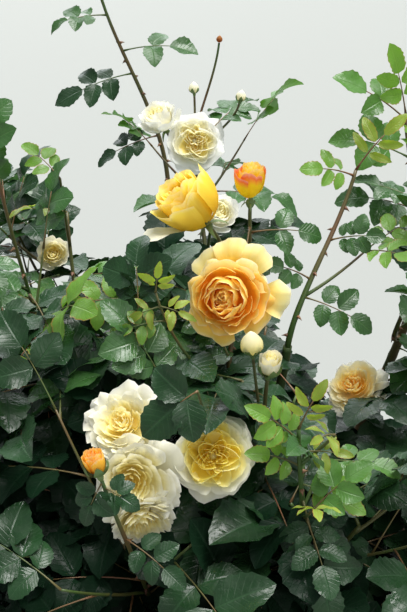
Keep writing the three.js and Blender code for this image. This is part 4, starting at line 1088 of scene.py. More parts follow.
def leaf_finish(name, blade, vein, margin, roughness, gloss, through):
    """A glossy leaf: the blade's colour drifts from leaf to leaf, is paler along the midrib and side
    veins, which are pressed into it, and may redden at the margin. Its wax is smooth in places and
    rubbed in others, and a share of the light comes through."""
    made, shader = plain_finish(name, blade, roughness, gloss)
    tree = made.node_tree
    spot = add_node(tree, "UVMap", {}, uv_map="spot").outputs["UV"]
    parts = add_node(tree, "SeparateXYZ", {"Vector": spot}).outputs
    place = add_node(tree, "TexCoord", {}).outputs["Object"]

    def drift(scale, low, high):
        noise = add_node(tree, "TexNoise", {"Vector": place, "Scale": scale, "Detail": 3}).outputs["Fac"]
        limits = {**DRIFT_LIMITS, "To Min": low, "To Max": high}
        return add_node(tree, "MapRange", {"Value": noise, **limits}).outputs["Result"]

    def blend(amount, first, second):
        colours = {"Factor": amount, "A": first, "B": second}
        return add_node(tree, "Mix", colours, data_type="RGBA").outputs["Result"]

    def line(distance, breadth):
        share = math(tree, "DIVIDE", distance, breadth)
        return math(tree, "MAXIMUM", 0.0, math(tree, "SUBTRACT", 1.0, share))

    off = math(tree, "ABSOLUTE", math(tree, "SUBTRACT", parts["X"], 0.5))
    midrib = line(off, MARKS["midrib"])
    along = math(tree, "MULTIPLY", parts["Y"], MARKS["veins"])
    slanted = math(tree, "MULTIPLY", off, MARKS["slant"])
    turn = math(tree, "FRACT", math(tree, "SUBTRACT", along, slanted))
    veins = line(math(tree, "ABSOLUTE", math(tree, "SUBTRACT", turn, 0.5)), MARKS["vein"])
    darker, paler = [(*(share * part for part in blade), 1) for share in LEAF_SHADES]
    past = math(tree, "DIVIDE", math(tree, "SUBTRACT", off, MARKS["margin"]), MARKS["margin_blend"])
    edge = math(tree, "MINIMUM", 1.0, math(tree, "MAXIMUM", 0.0, past))
    edged = blend(edge, blend(drift(DRIFTS["colour"], 0.0, 1.0), darker, paler), (*margin, 1))
    amount = math(tree, "MAXIMUM", math(tree, "MULTIPLY", midrib, MARKS["midrib_colour"]),
                  math(tree, "MULTIPLY", veins, MARKS["vein_colour"]))
    pressed = math(tree, "MAXIMUM", midrib, math(tree, "MULTIPLY", veins, MARKS["vein_depth"]))
    height = math(tree, "ADD", pressed, drift(DRIFTS["relief"], 0.0, GRAIN))
    relief = add_node(tree, "Bump", {"Height": height, **LEAF_RELIEF}, invert=True)
    tree.links.new(blend(amount, edged, (*vein, 1)), shader.inputs["Base Color"])
    wax = drift(DRIFTS["wax"], *(roughness + change for change in LEAF_WAX))
    tree.links.new(wax, shader.inputs["Roughness"])
    tree.links.new(relief.outputs["Normal"], shader.inputs["Normal"])
    glow = [min(1, gain * part) for gain, part in zip(LEAF_GLOW, blade)]
    lit_through(tree, shader, (*glow, 1), through)
    return made


for name, groups in leaflets.items():
    if groups:
        finish = leaf_finish(f"leaf_{name}", *TINTS[name])
        add_grids(f"leaves_{name}", np.concatenate(groups), finish, shoot_nodes)

leaf_shares = np.linspace(0, 1, STALK_RINGS)
stalk_paths = stalk_points(leaf_rows, leaf_shares)[0]
stalk_radii = np.tile(LEAF["stalk_radius"] * (1 - LEAF["taper"] * leaf_shares), (len(leaf_rows), 1))
stalk_radii[:, 0] *= LEAF["swollen_foot"]
red_stalk = patterned("leaf_stalk", (0.19, 0.13, 0.05), 0.5, 0.5, (0.07, 0.12, 0.030),
                      (0.18, 0.068, 0.030), 9, (1, 1, 1), 0.05, 0.0003)
stalk_tubes = tubes(stalk_paths, stalk_radii, STALK_SIDES)
add_grids("leaf_stalks", stalk_tubes, red_stalk, shoot_nodes, ring=True)

# The shoots' wood. Young stems, their side twigs and the flowers' stalks are smooth and green, with
# drifting patches of the red that the sun brings out in them. A twig, or a stem with no flower, is
# cut back to the last leaf it bears.
STEM_SINK = 3
STEM_NODES = {"swell": 0.09, "count": 7, "sharpness": 6}
FLOWER_STALK_RADII = (1.7, 1.4)


def cut_back(twig):
    """A twig's path up to the last leaf it bears, in as many even steps as before."""
    steps = np.linspace(0, 1, TWIG_RINGS)
    return np.stack([np.interp(steps * twig["last"], steps, twig["path"][:, axis]) for axis in range(3)], -1)


for twig in twigs:
    twig["last"] = max([row["age"] for row in leaf_rows if row["twig"] is twig], default=0)
twigs = [twig for twig in twigs if twig["last"] > 0]
for shoot in shoots:
    borne = [row["age"] for row in leaf_rows if row["shoot"] is shoot and row["twig"] is None]
    borne += [twig["at"] for twig in twigs if twig["shoot"] is shoot]
    shoot["last"] = 1.0 if shoot["flowers"] else max(borne, default=STEM["kept_bare"])

stem_shares = np.linspace(0, 1, STEM_RINGS) * np.array([shoot["last"] for shoot in shoots])[:, None]
stem_paths = on_bezier(np.array([shoot["controls"] for shoot in shoots]), stem_shares)
stem_paths[:, 0] = [on_bezier(limbs[shoot["on"]]["controls"], shoot["at"]) for shoot in shoots]
from_tips = np.array([[shoot["at"] == 1] for shoot in shoots])
stem_paths[:, 0] -= STEM_SINK * unit(stem_paths[:, 1] - stem_paths[:, 0]) * from_tips
stem_radii = STEM["foot_radius"] + stem_shares * (STEM["tip_radius"] - STEM["foot_radius"])
stem_nodes = np.abs(np.sin(pi * STEM_NODES["count"] * stem_shares)) ** STEM_NODES["sharpness"]
stem_radii = stem_radii * (1 + STEM_NODES["swell"] * stem_nodes)

stalk_shares = np.tile(np.linspace(0, 1, STEM_RINGS), (len(stalks), 1))
stalk_radii = FLOWER_STALK_RADII[0] + stalk_shares * (FLOWER_STALK_RADII[1] - FLOWER_STALK_RADII[0])

twig_paths = np.array([cut_back(twig) for twig in twigs])
twig_shares = np.linspace(0, 1, TWIG_RINGS) * np.array([twig["last"] for twig in twigs])[:, None]
twig_radii = TWIG["foot_radius"] + twig_shares * (TWIG["tip_radius"] - TWIG["foot_radius"])

young_bark = patterned("young_bark", (0.13, 0.19, 0.05), 0.42, 0.5, (0.050, 0.105, 0.022),
                       (0.13, 0.065, 0.028), 14, (1, 1, 0.6), 0.1, 0.0006)
for name, paths, radii, sides in (("shoot_stems", stem_paths, stem_radii, STEM_SIDES),
                                  ("flower_stalks", on_bezier(stalks, stalk_shares), stalk_radii, STEM_SIDES),
                                  ("side_twigs", twig_paths, twig_radii, TWIG_SIDES)):
    add_grids(name, tubes(paths, radii, sides), young_bark, shoot_nodes, ring=True)

# The blooms. Full double flowers: dozens of petals on a spiral, short and deep-coloured at the
# heart, longer outwards, the outermost broad, pale and rolled back. Half-open ones are cupped, and
# some cream ones are quartered: their hearts are folded petals in five sheaves.
BLOOMS = {
    # petals that wrap round the axis; how ruffled and uneven they are; where it has them, sheaves
    # of folded petals and how many are nested in each, how far the heart leans aside, and the turns
    # of petals that are set one by one; then values from the innermost petal (0) to the outermost
    # (1): rim radius, rim height, half-width in radians, how far the rim rolls out, where the petal
    # bellies and how high, and the height of its foot
    "rosette": {
        "petals": 40, "ruffle": 0.034, "unrest": (0.6, 1.4), "lean": (-0.09, -0.02),
        "radius": (0.02, 0.08, 0.18, 0.32, 0.45), "height": (0.06, 0.11, 0.13, 0.08, -0.12),
        "width": (1.5, 1.2, 0.95, 0.76, 0.62), "roll": (-0.03, -0.02, 0.0, 0.04, 0.09),
        "belly": (2.0, 2.1, 1.6, 1.1, 0.85), "floor": (0.3, 0.3, 0.25, 0.3, 1.3),
        "foot": (-0.06, -0.09, -0.13, -0.20, -0.27),
    },
    "quartered": {
        "petals": 24, "ruffle": 0.036, "unrest": (1.2, 1.2), "sheaves": 5, "nested": 5,
        "radius": (0.31, 0.36, 0.41, 0.46, 0.51), "height": (0.11, 0.09, 0.06, 0.0, -0.10),
        "width": (0.72, 0.70, 0.68, 0.66, 0.64), "roll": (0.0, 0.02, 0.05, 0.07, 0.08),
        "belly": (1.15, 1.1, 1.0, 0.9, 0.8), "floor": (0.15, 0.2, 0.25, 0.35, 0.45),
        "foot": (-0.05, -0.10, -0.16, -0.22, -0.27),
    },
    "cup": {
        "petals": 28, "ruffle": 0.034, "unrest": (1.2, 1.2),
        "radius": (0.03, 0.14, 0.25, 0.36, 0.48), "height": (0.18, 0.22, 0.24, 0.20, 0.06),
        "width": (1.3, 1.1, 0.9, 0.76, 0.68), "roll": (-0.02, -0.01, 0.01, 0.03, 0.07),
        "belly": (1.5, 1.4, 1.25, 1.1, 1.0), "floor": (0.1, 0.1, 0.1, 0.12, 0.2),
        "foot": (-0.12, -0.16, -0.22, -0.30, -0.38),
    },
    "goblet": {
        "petals": 25, "ruffle": 0.036, "unrest": (1.1, 1.1), "lean": (-0.02, -0.04),
        "radius": (0.03, 0.13, 0.23, 0.32, 0.40), "height": (0.24, 0.29, 0.34, 0.34, 0.26),
        "width": (1.3, 1.15, 1.05, 0.96, 0.84), "roll": (-0.02, -0.01, 0.0, 0.03, 0.08),
        "belly": (1.5, 1.45, 1.35, 1.25, 1.12), "floor": (0.1, 0.1, 0.1, 0.12, 0.15),
        "foot": (-0.15, -0.20, -0.28, -0.36, -0.42),
    },
    "opening": {
        "petals": 16, "ruffle": 0.024, "unrest": (1.0, 1.0),
        "radius": (0.06, 0.16, 0.25, 0.33, 0.40), "height": (0.50, 0.53, 0.50, 0.44, 0.37),
        "width": (1.3, 1.15, 1.05, 1.0, 0.95), "roll": (0.0, 0.0, 0.01, 0.03, 0.07),
        "belly": (1.3, 1.35, 1.4, 1.4, 1.4), "floor": (0.2, 0.2, 0.2, 0.2, 0.22),
        "foot": (-0.30, -0.36, -0.42, -0.48, -0.52),
    },
    "blowsy": {
        "petals": 50, "ruffle": 0.050, "unrest": (1.5, 1.5), "lean": (-0.12, 0.05),
        "radius": (0.04, 0.20, 0.34, 0.47, 0.60), "height": (0.14, 0.18, 0.16, 0.08, -0.08),
        "width": (0.90, 0.72, 0.62, 0.58, 0.54), "roll": (0.0, 0.02, 0.04, 0.06, 0.09),
        "belly": (1.3, 1.1, 1.0, 0.95, 0.85), "floor": (0.15, 0.2, 0.3, 0.5, 0.9),
        "foot": (-0.05, -0.10, -0.16, -0.22, -0.27),
    },
    "guard": {
        "petals": 4, "ruffle": 0.034, "unrest": (0.9, 0.9),
        "turns": (2.2, 1.62, 1.05, 0.02),
        "radius": (0.47, 0.48, 0.49, 0.52, 0.52), "height": (-0.13, -0.14, -0.14, -0.12, -0.12),
        "width": (0.40, 0.38, 0.38, 0.44, 0.44), "roll": (0.09, 0.10, 0.10, 0.06, 0.06),
        "belly": (1.0,) * 5, "floor": (1.8,) * 5, "foot": (-0.28,) * 5,
    },
    "tall": {
        "petals": 1, "ruffle": 0.030, "unrest": (0.6, 0.6),
        "turns": (1.2,), "radius": (0.44,) * 5, "height": (0.35,) * 5, "width": (0.76,) * 5,
        "roll": (0.02,) * 5, "belly": (1.25,) * 5, "floor": (0.15,) * 5, "foot": (-0.42,) * 5,
    },
    "loose": {
        "petals": 1, "ruffle": 0.034, "unrest": (0.6, 0.6),
        "turns": (-1.35,), "radius": (0.66,) * 5, "height": (0.17,) * 5, "width": (0.40,) * 5,
        "roll": (0.08,) * 5, "belly": (0.58,) * 5, "floor": (0.4,) * 5, "foot": (-0.40,) * 5,
    },
}
BLOOMS = {kind: {"sheaves": 0, "nested": 0, "lean": (0.0, 0.0), **shape} for kind, shape in BLOOMS.items()}
TONES = {
    # tone: colour at the petal's foot and at its rim, for the heart, the middle and the outermost
    "golden": (((1.00, 0.42, 0.02), (1.00, 0.74, 0.16)), ((1.00, 0.52, 0.04), (1.00, 0.77, 0.20)),
               ((1.00, 0.48, 0.04), (1.00, 0.68, 0.15))),
    # A paler gold, painted light on the upper outer petals and the guard petals of a golden bloom.
    "painted_lit_gold": (((1.00, 0.74, 0.16), (1.00, 0.88, 0.40)),) * 3,
    "yellow": (((1.00, 0.56, 0.02), (1.00, 0.76, 0.06)), ((1.00, 0.66, 0.03), (1.00, 0.80, 0.10)),
               ((1.00, 0.70, 0.04), (1.00, 0.82, 0.13))),
    "flame": (((1.00, 0.74, 0.03), (1.00, 0.82, 0.06)), ((1.00, 0.76, 0.02), (1.00, 0.72, 0.05)),
              ((1.00, 0.78, 0.02), (0.96, 0.24, 0.06))),
    "cream": (((0.98, 0.84, 0.32), (0.98, 0.93, 0.58)), ((0.93, 0.85, 0.42), (0.94, 0.90, 0.68)),
              ((0.84, 0.81, 0.58), (0.86, 0.84, 0.70))),
    "white": (((0.98, 0.84, 0.32), (0.98, 0.95, 0.68)), ((0.96, 0.92, 0.66), (0.98, 0.97, 0.88)),
              ((0.96, 0.95, 0.84), (0.98, 0.98, 0.94))),
    "lemon": (((1.00, 0.80, 0.10), (1.00, 0.92, 0.30)), ((1.00, 0.86, 0.22), (0.99, 0.94, 0.52)),
              ((0.93, 0.89, 0.52), (0.94, 0.92, 0.74))),
    "faded": (((1.00, 0.70, 0.15), (1.00, 0.86, 0.38)), ((1.00, 0.84, 0.38), (0.99, 0.92, 0.62)),
              ((0.98, 0.92, 0.66), (0.98, 0.96, 0.84))),
    "orange": (((0.94, 0.38, 0.02), (1.00, 0.56, 0.05)), ((0.95, 0.44, 0.02), (1.00, 0.62, 0.06)),
               ((0.95, 0.46, 0.03), (1.00, 0.64, 0.07))),
    "hip": (((0.42, 0.15, 0.04), (0.50, 0.24, 0.08)),) * 3,
}
ZONES = {"heart": (0, 0.40), "middle": (0.40, 0.72), "outer": (0.72, 1.01)}
THROUGH = {"heart": 0.55, "middle": 0.45, "outer": 0.32}
# Where along a petal its colour begins to change from the foot's to the rim's, by tone.
RAMP_START = {"flame": 0.72, "golden": 0.55}
USUAL_RAMP_START = 0.45
# The petal rim's thin edge is a painted highlight, set by the last stop here and by the share of white and
# rim colour on the next line.
RIM_STOPS = {"full": 0.90, "painted_light": 0.985}
PAINTED_RIM_HIGHLIGHT = (0.25, 0.75)  # how much white and how much of the rim's colour its thin edge has
PETAL_SHINE = (0.6, 0.2)  # roughness and gloss
PETAL_RELIEF = {"Strength": 0.25, "Distance": 0.0015}
STREAKS = {"cream": 0.42, "white": 0.34, "lemon": 0.34, "faded": 0.30, "golden": 0.16, "painted_lit_gold": 0.34,
           "yellow": 0.2, "flame": 0.1, "orange": 0.25, "hip": 0.0}
STREAK_STRETCH = (9, 0.9, 1)  # how closely streaks follow one another across a petal and up it
PETAL_PLACE_SPREAD = 14
PETAL_GRID = (7, 11)
# How unevenly petals differ in reach, height, turn and width.
UNEVEN = {"reach": 0.16, "height": 0.07, "turn": 0.5, "width": 0.3}
# A petal's outline: how narrow its foot is, where it is broadest, how its rim is flattened, rounded
# and notched, and where it begins to roll out and how fast.
PETAL = {"foot": 0.42, "body": 0.58, "broadest": 0.78, "flattened": 0.06, "rounded": 0.13, "round_power": 3.2,
         "notch": 0.05, "notch_width": 0.22, "rolled_from": 0.66, "rolled_over": 0.30, "roll_out": 0.7,
         "roll_down": 0.9, "ruffle_out": 0.6}
# A folded petal: its reach, how broad its loop is, how far the loop turns, and how its sheaf is uneven.
FOLD = {"reach": 0.36, "start": 1.2, "end": 0.2, "breadth": 0.75, "turn": 1.5, "foot": 0.02,
        "uneven_reach": 0.3, "uneven_breadth": 0.4, "uneven_turn": 0.5}
# How strong a petal's ruffle is at the heart and by how much more outside, its long waves and its
# short ones, and how differently petals start them.
RUFFLE = {"heart": 0.45, "more": 0.55, "long": 4.2, "long_start": 7, "short": 9, "short_start": 20,
          "short_share": 0.5}
SHAPE_KEYS = ("radius", "height", "width", "roll", "belly", "floor", "foot")
# How high above the centre, in shares of its size, a golden bloom's outer petal must stand to take the paler
# gold as painted light.
PAINTED_LIT_ABOVE = 0.14
FOOT_RADIUS = 0.03
FIRST_TURN = -pi / 2


def flower_frame(flower):
    """A flower's own axes: two across it and the way it faces."""
    level, lift = across(flower["facing"], level_across(flower["facing"]))
    return np.array([level, lift, flower["facing"]])


def folded_rims(shape, wild, s, narrow):
    """The rims of folded petals in plan: half an ellipse that leaves the middle, turns at the
    petal's reach and comes back, so that the petals of a sheaf nest one in another."""
    sheaves, nested = shape["sheaves"], shape["nested"]
    number = np.arange(sheaves * nested)[:, None, None]
    reach = FOLD["reach"] * (number // sheaves + FOLD["start"]) / (nested + FOLD["end"])
    reach = reach * (1 + FOLD["uneven_reach"] * wild[..., 0])
    breadth = FOLD["breadth"] * reach * np.sin(pi / sheaves) * (1 + FOLD["uneven_breadth"] * wild[..., 1])
    angle = FOLD["turn"] * s * narrow
    along = FOLD["foot"] + reach * np.cos(angle)
    beside = breadth * np.sin(angle)
    turn = 2 * pi * (number % sheaves) / sheaves + FOLD["uneven_turn"] * wild[..., 2]
    return np.stack([along * np.cos(turn) - beside * np.sin(turn),
                     along * np.sin(turn) + beside * np.cos(turn)], -1)


def petals(flower, seed):
    """A flower's petals, (n, rows, columns, 3), from the heart outwards, with each one's share of
    the way out. From its foot a petal follows a quadratic curve by its belly to its rim, which
    rolls out. A wrapped petal's rim is an arc round the axis, a golden angle on from the last, and
    a folded one's is a loop. Rims are rounded, notched and ruffled, each by its own draws."""
    shape = BLOOMS[flower["kind"]]
    folded = shape["sheaves"] * shape["nested"]
    count = shape["petals"] + folded
    rows, columns = PETAL_GRID
    draw = draws_for(SEEDS["petals"], seed)
    number = np.arange(count)[:, None, None]
    wrap = np.clip((number - folded + 0.5) / shape["petals"], 0, 1)
    wild = np.array([[draw() - 0.5 for _ in range(6)] for _ in range(count)])[:, None, None]
    wild = wild * np.interp(wrap, (0, 1), shape["unrest"])[..., None]
    stations = np.linspace(0, 1, 5)
    radius, height, width, roll, belly, base_lift, base_height = (
        np.interp(wrap, stations, shape[key]) for key in SHAPE_KEYS)
    t = np.linspace(0, 1, rows)[None, :, None]
    s = np.linspace(-1, 1, columns)[None, None, :]
    risen = np.minimum(t, PETAL["broadest"]) / (2 * PETAL["broadest"])
    narrow = PETAL["foot"] + PETAL["body"] * np.sin(pi * risen)
    radius = radius * (1 + UNEVEN["reach"] * wild[..., 0]) * (1 - PETAL["flattened"] * s**2)
    turn = FIRST_TURN + GOLDEN_ANGLE * number + UNEVEN["turn"] * wild[..., 2]
    if "turns" in shape:
        turn = np.array(shape["turns"])[:, None, None]
    turn = turn + s * width * narrow * (1 + UNEVEN["width"] * wild[..., 4])
    plan = radius[..., None] * np.stack([np.cos(turn), np.sin(turn)], -1)
    if folded:
        plan[:folded] = folded_rims(shape, wild[:folded], s, narrow)
    height = height + UNEVEN["height"] * wild[..., 1]
    notch = PETAL["notch"] * np.exp(-((s - wild[..., 5]) / PETAL["notch_width"]) ** 2)
    edge = t * (1 - PETAL["rounded"] * np.abs(s) ** PETAL["round_power"] - notch)
    middle_height = base_height + base_lift * (height - base_height)
    outward = plan / np.maximum(np.linalg.norm(plan, axis=-1, keepdims=True), 1e-6)
    ease = edge[..., None]
    from_foot, by_belly = (1 - ease) ** 2, 2 * belly[..., None] * plan * ease * (1 - ease)
    plan = FOOT_RADIUS * outward * from_foot + by_belly + plan * ease**2
    level = base_height * (1 - edge) ** 2 + 2 * middle_height * edge * (1 - edge) + height * edge**2
    rolled = np.clip((edge - PETAL["rolled_from"]) / PETAL["rolled_over"], 0, 1) ** 2
    short = np.sin(RUFFLE["short"] * s + RUFFLE["short_start"] * wild[..., 1])
    waves = np.sin(RUFFLE["long"] * s + RUFFLE["long_start"] * wild[..., 3]) + RUFFLE["short_share"] * short
    ruffle = shape["ruffle"] * (RUFFLE["heart"] + RUFFLE["more"] * wrap) * waves * t**3
    plan = plan + (PETAL["roll_out"] * roll * rolled + PETAL["ruffle_out"] * ruffle)[..., None] * outward
    plan = plan + (1 - number[..., None] / count) * np.array(shape["lean"])
    level = level - PETAL["roll_down"] * roll * rolled + ruffle
    local = np.concatenate([plan, level[..., None]], -1) * flower["size"]
    return flower["centre"] + local @ flower_frame(flower), (np.arange(count) + 0.5) / count


def petal_finish(name, foot, rim, start=USUAL_RAMP_START, through=0.5, streaks=0.0):
    """A soft matt petal that glows in the light behind it. Its colour goes from foot to rim, in
    streaks that run up the petal, and the rim's thin edge is paler still: a painted highlight."""
    made, shader = plain_finish(name, rim, *PETAL_SHINE)
    tree = made.node_tree
    spot = add_node(tree, "UVMap", {}, uv_map="spot").outputs["UV"]
    place = add_node(tree, "TexCoord", {}).outputs["Object"]
    wider = add_node(tree, "VectorMath", {0: place, "Scale": PETAL_PLACE_SPREAD}, operation="SCALE")
    streaked = {0: spot, 1: STREAK_STRETCH, 2: wider.outputs["Vector"]}
    streaked = add_node(tree, "VectorMath", streaked, operation="MULTIPLY_ADD").outputs["Vector"]
    noise = add_node(tree, "TexNoise", {"Vector": streaked, "Scale": 1, "Detail": 3}).outputs["Fac"]
    along = add_node(tree, "SeparateXYZ", {"Vector": spot}).outputs["Y"]
    moved = math(tree, "MULTIPLY_ADD", noise, streaks, math(tree, "SUBTRACT", along, 0.5 * streaks))
    # The colour of the painted highlight on the rim's thin edge.
    painted_light = [PAINTED_RIM_HIGHLIGHT[0] + PAINTED_RIM_HIGHLIGHT[1] * part for part in rim]
    colour = colour_ramp(tree, moved, [(start, foot), (RIM_STOPS["full"], rim), (RIM_STOPS["painted_light"], painted_light)])
    relief = add_node(tree, "Bump", {"Height": noise, **PETAL_RELIEF})
    tree.links.new(colour, shader.inputs["Base Color"])
    tree.links.new(relief.outputs["Normal"], shader.inputs["Normal"])
    lit_through(tree, shader, colour, through)
    return made


def painted_lit_top(flower, points, out):
    """Which of a golden bloom's petals take a paler gold as painted light: the outer ones of its
    upper half, on which the light falls.
    """
    above = points[:, -1, PETAL_GRID[1] // 2, 2] - flower["centre"][2]
    high = above > PAINTED_LIT_ABOVE * flower["size"]
    return (flower["tone"] == "golden") & (out > ZONES["outer"][0]) & high


flowers = [flower for shoot in shoots for flower in shoot["flowers"]]
grown = []
for number, flower in enumerate(flowers):
    if flower["kind"] in BLOOMS:
        points, out = petals(flower, number)
        # A golden bloom's upper outer petals take the paler gold: painted light.
        painted_light = painted_lit_top(flower, points, out)
        grown += [(flower["tone"], points[~painted_light], out[~painted_light]), ("painted_lit_gold", points[painted_light], out[painted_light])]
for tone, colours in TONES.items():
    for (zone, (near, far)), (foot, rim) in zip(ZONES.items(), colours):
        chosen = [points[(out >= near) & (out < far)] for name, points, out in grown if name == tone]
        chosen = [points for points in chosen if len(points)]
        if chosen:
            start = RAMP_START.get(tone, USUAL_RAMP_START)
            finish = petal_finish(f"petal_{tone}_{zone}", foot, rim, start, THROUGH[zone], STREAKS[tone])
            add_grids(f"petals_{tone}_{zone}", np.concatenate(chosen), finish, shoot_nodes)

# The buds and hips. A bud is a tight cone of petals with a twist of overlapping rims, and a hip a
# small smooth berry. Both end a thin stalk, and a small tight bud also closes the heart of each
# rosette, quartered and cupped bloom.
BUD_GRID = (14, 14)
BUTTON = {"size": 0.10, "drop": 0.04}
BUTTONED = ("rosette", "quartered", "cup")
BUD = {"ends": 0.004, "pointed": 0.8, "full": 0.75, "groove": 0.10, "grooves": 1.5, "winding": 3.4,
       "below": 0.56, "height": 1.16}


def buds(rows):
    """Turned shapes, (n, rows, columns, 3): the radius at a share t of the height is half the size
    times sin(pi t^0.8) to the power 0.75, less a groove that winds round it."""
    t = np.linspace(BUD["ends"], 1 - BUD["ends"], BUD_GRID[0])[:, None]
    angle = 2 * pi * np.arange(BUD_GRID[1]) / BUD_GRID[1]
    winding = np.sin(BUD["grooves"] * (angle - BUD["winding"] * t))
    groove = 1 - BUD["groove"] * np.clip(winding, 0, 1) ** 4
    radius = 0.5 * np.sin(pi * t ** BUD["pointed"]) ** BUD["full"] * groove
    level = -BUD["below"] + BUD["height"] * t + 0 * angle
    local = np.stack([radius * np.cos(angle), radius * np.sin(angle), level], -1)
    return np.array([row["centre"] + row["size"] * local @ flower_frame(row) for row in rows])


def heart_shift(flower):
    """Where a bloom's heart sits, from its centre: it leans aside as its petals do, and is sunk."""
    shift = np.array([*BLOOMS[flower["kind"]]["lean"], -BUTTON["drop"]])
    return flower["size"] * shift @ flower_frame(flower)


for tone in TONES:
    rows = [flower for flower in flowers if flower["tone"] == tone and flower["kind"] in ("bud", "hip")]
    rows += [{**flower, "size": BUTTON["size"] * flower["size"],
              "centre": flower["centre"] + heart_shift(flower)}
             for flower in flowers if flower["tone"] == tone and flower["kind"] in BUTTONED]
    if rows:
        finish = petal_finish(f"bud_{tone}", *TONES[tone][1])
        add_grids(f"buds_{tone}", buds(rows), finish, shoot_nodes, ring=True)

# The calyx. Under each flower a small green urn swells from the stalk, and five pointed sepals
# spread from its rim, folded back under open flowers and clasping the buds.
SEPAL = {"length": 0.30, "width": 0.10, "clasp_length": 0.66, "clasp_width": 0.42, "clasp_radius": 0.42,
         "root": 2, "clasp_root": 1.5, "heading": 0.1, "fold": 1.4, "count": 5, "point": 0.8,
         "clasp_start": 0.22, "clasp_full": 1.5, "clasp_in": 0.12}
SEPAL_GRID = (9, 5)
CLASPED_UNDER = 30
URN_GRID = (12, 14)
# An urn's radius, its length, how far it reaches below its place, and its outline. Then the sizes of
# flower that it fits as it is, and the least and the most that it is scaled.
URN = {"radius": 4.4, "length": 14, "below": 10, "ends": 0.02, "low": 1.3, "full": 0.7}
USUAL_SIZE = {"opening": 36, "other": 75}
URN_SCALES = (0.45, 1.1)


def urns(rows):
    """Turned urns at each calyx: the radius follows sin(pi t^1.3)^0.7, up to a third of the length."""
    t = np.linspace(URN["ends"], 1 - URN["ends"], URN_GRID[0])[:, None]
    angle = 2 * pi * np.arange(URN_GRID[1]) / URN_GRID[1]
    radius = URN["radius"] * np.sin(pi * t ** URN["low"]) ** URN["full"]
    level = URN["length"] * t - URN["below"] + 0 * angle
    local = np.stack([radius * np.cos(angle), radius * np.sin(angle), level], -1)
    usual = [USUAL_SIZE["opening" if row["kind"] == "opening" else "other"] for row in rows]
    scale = np.clip([row["size"] / size for row, size in zip(rows, usual)], *URN_SCALES)
    return np.array([row["calyx"] + size * local @ flower_frame(row) for row, size in zip(rows, scale)])


def sepals(rows):
    """Sepals, (n, rows, columns, 3), pointed blades. Round a small bud they clasp it, on a
    quarter of an ellipse from its foot to its flank. Under an open flower they fold back and down
    on an arc."""
    t = np.linspace(0, 1, SEPAL_GRID[0])[:, None]
    s = np.linspace(-1, 1, SEPAL_GRID[1])[None]
    made = []
    for row in rows:
        size = row["size"]
        if size < CLASPED_UNDER:
            flank = np.sin(0.5 * pi * np.minimum(1, SEPAL["clasp_full"] * t)) * (1 - SEPAL["clasp_in"] * t**2)
            away = SEPAL["clasp_root"] + SEPAL["clasp_radius"] * size * flank
            level = SEPAL["clasp_length"] * size * t
            start = SEPAL["clasp_start"]
            bulge = np.sin(pi * (start + (1 - start) * t)) ** SEPAL["point"]
            half = 0.5 * SEPAL["clasp_width"] * size * bulge
        else:
            heading = SEPAL["heading"] - SEPAL["fold"] * t
            steps = np.diff(t[:, 0], prepend=0)[:, None] * SEPAL["length"] * size
            away = SEPAL["root"] + np.cumsum(steps * np.cos(heading), 0)
            level = np.cumsum(steps * np.sin(heading), 0)
            half = 0.5 * SEPAL["width"] * size * (1 - t) ** SEPAL["point"]
        for number in range(SEPAL["count"]):
            turn = 2 * pi * number / SEPAL["count"] + size
            angle = turn + s * half / np.maximum(away, half)
            local = np.stack([away * np.cos(angle), away * np.sin(angle), level + 0 * s], -1)
            made.append(row["calyx"] + local @ flower_frame(row))
    return np.array(made)


calyx_green = patterned("calyx_green", (0.12, 0.20, 0.06), 0.5, 0.5, (0.09, 0.16, 0.045), (0.17, 0.24, 0.08),
                        40, (1, 1, 1), 0.1, 0.0005)
with_calyx = [flower for flower in flowers if flower["kind"] not in ("hip", *PART_KINDS)]
add_grids("calyx_urns", urns(with_calyx), calyx_green, shoot_nodes, ring=True)
add_grids("sepals", sepals(with_calyx), calyx_green, shoot_nodes)

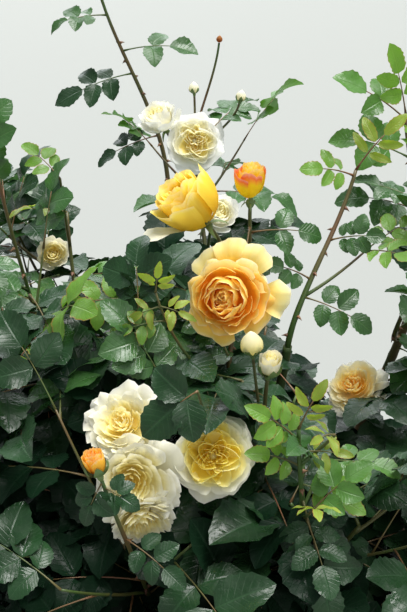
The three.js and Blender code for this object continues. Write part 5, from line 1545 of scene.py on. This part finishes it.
# The prickles. Short hooked thorns stand off the canes and stems, red-brown and broad at the foot.
PRICKLE = {"spacing": 24, "length": 6.0, "foot": 2.4, "tip": 0.08, "hook": 0.35, "lowest": 0.04,
           "stretch": 0.88, "highest": 0.97, "share": 0.9, "seat": 0.8, "narrowing": 1.2}
PRICKLE_RINGS = 4
PRICKLE_SIDES = 5


def prickles(controls, radii, lasts):
    """Prickles, (n, rings, sides, 3): small cones on limbs at drawn places by the golden
    angle, that bend down towards the foot of the limb as they narrow."""
    roots, ways, downs = [], [], []
    for seed, (limb, (foot_radius, tip_radius), last) in enumerate(zip(controls, radii, lasts)):
        span = np.linalg.norm(limb[3] - limb[0])
        for number in range(int(PRICKLE["share"] * span / PRICKLE["spacing"])):
            draw = draws_for(SEEDS["prickles"] + seed, number)
            at = PRICKLE["lowest"] + PRICKLE["stretch"] * (number + draw()) * PRICKLE["spacing"] / span
            at = last * at
            place = min(at, PRICKLE["highest"])
            tangent = along_bezier(limb, place)
            way = aside_of(tangent, GOLDEN_ANGLE * number + 2 * draw())
            girth = foot_radius + at * (tip_radius - foot_radius)
            roots.append(on_bezier(limb, place) + PRICKLE["seat"] * girth * way)
            ways.append(way)
            downs.append(-tangent)
    roots, ways, downs = np.array(roots), np.array(ways), np.array(downs)
    shares = np.linspace(0, 1, PRICKLE_RINGS)[None, :, None]
    ways = shares * ways[:, None] + PRICKLE["hook"] * shares**2 * downs[:, None]
    cone = PRICKLE["foot"] * (1 - shares[..., 0]) ** PRICKLE["narrowing"] + PRICKLE["tip"]
    paths = roots[:, None] + PRICKLE["length"] * ways
    return tubes(paths, np.tile(cone, (len(roots), 1)), PRICKLE_SIDES)


prickle_limbs = [limb["controls"] for limb in limbs.values()] + [shoot["controls"] for shoot in shoots]
prickle_radii = [(limb["foot_radius"], limb["tip_radius"]) for limb in limbs.values()]
prickle_radii += [(STEM["foot_radius"], STEM["tip_radius"])] * len(shoots)
prickle_lasts = [1.0] * len(limbs) + [shoot["last"] for shoot in shoots]
prickle_red = patterned("prickle_red", (0.22, 0.09, 0.05), 0.45, 0.5, (0.14, 0.06, 0.035), (0.28, 0.15, 0.08),
                        60, (1, 1, 1), 0.1, 0.0004)
add_grids("prickles", prickles(prickle_limbs, prickle_radii, prickle_lasts), prickle_red,
          shoot_nodes + list(limbs), ring=True)
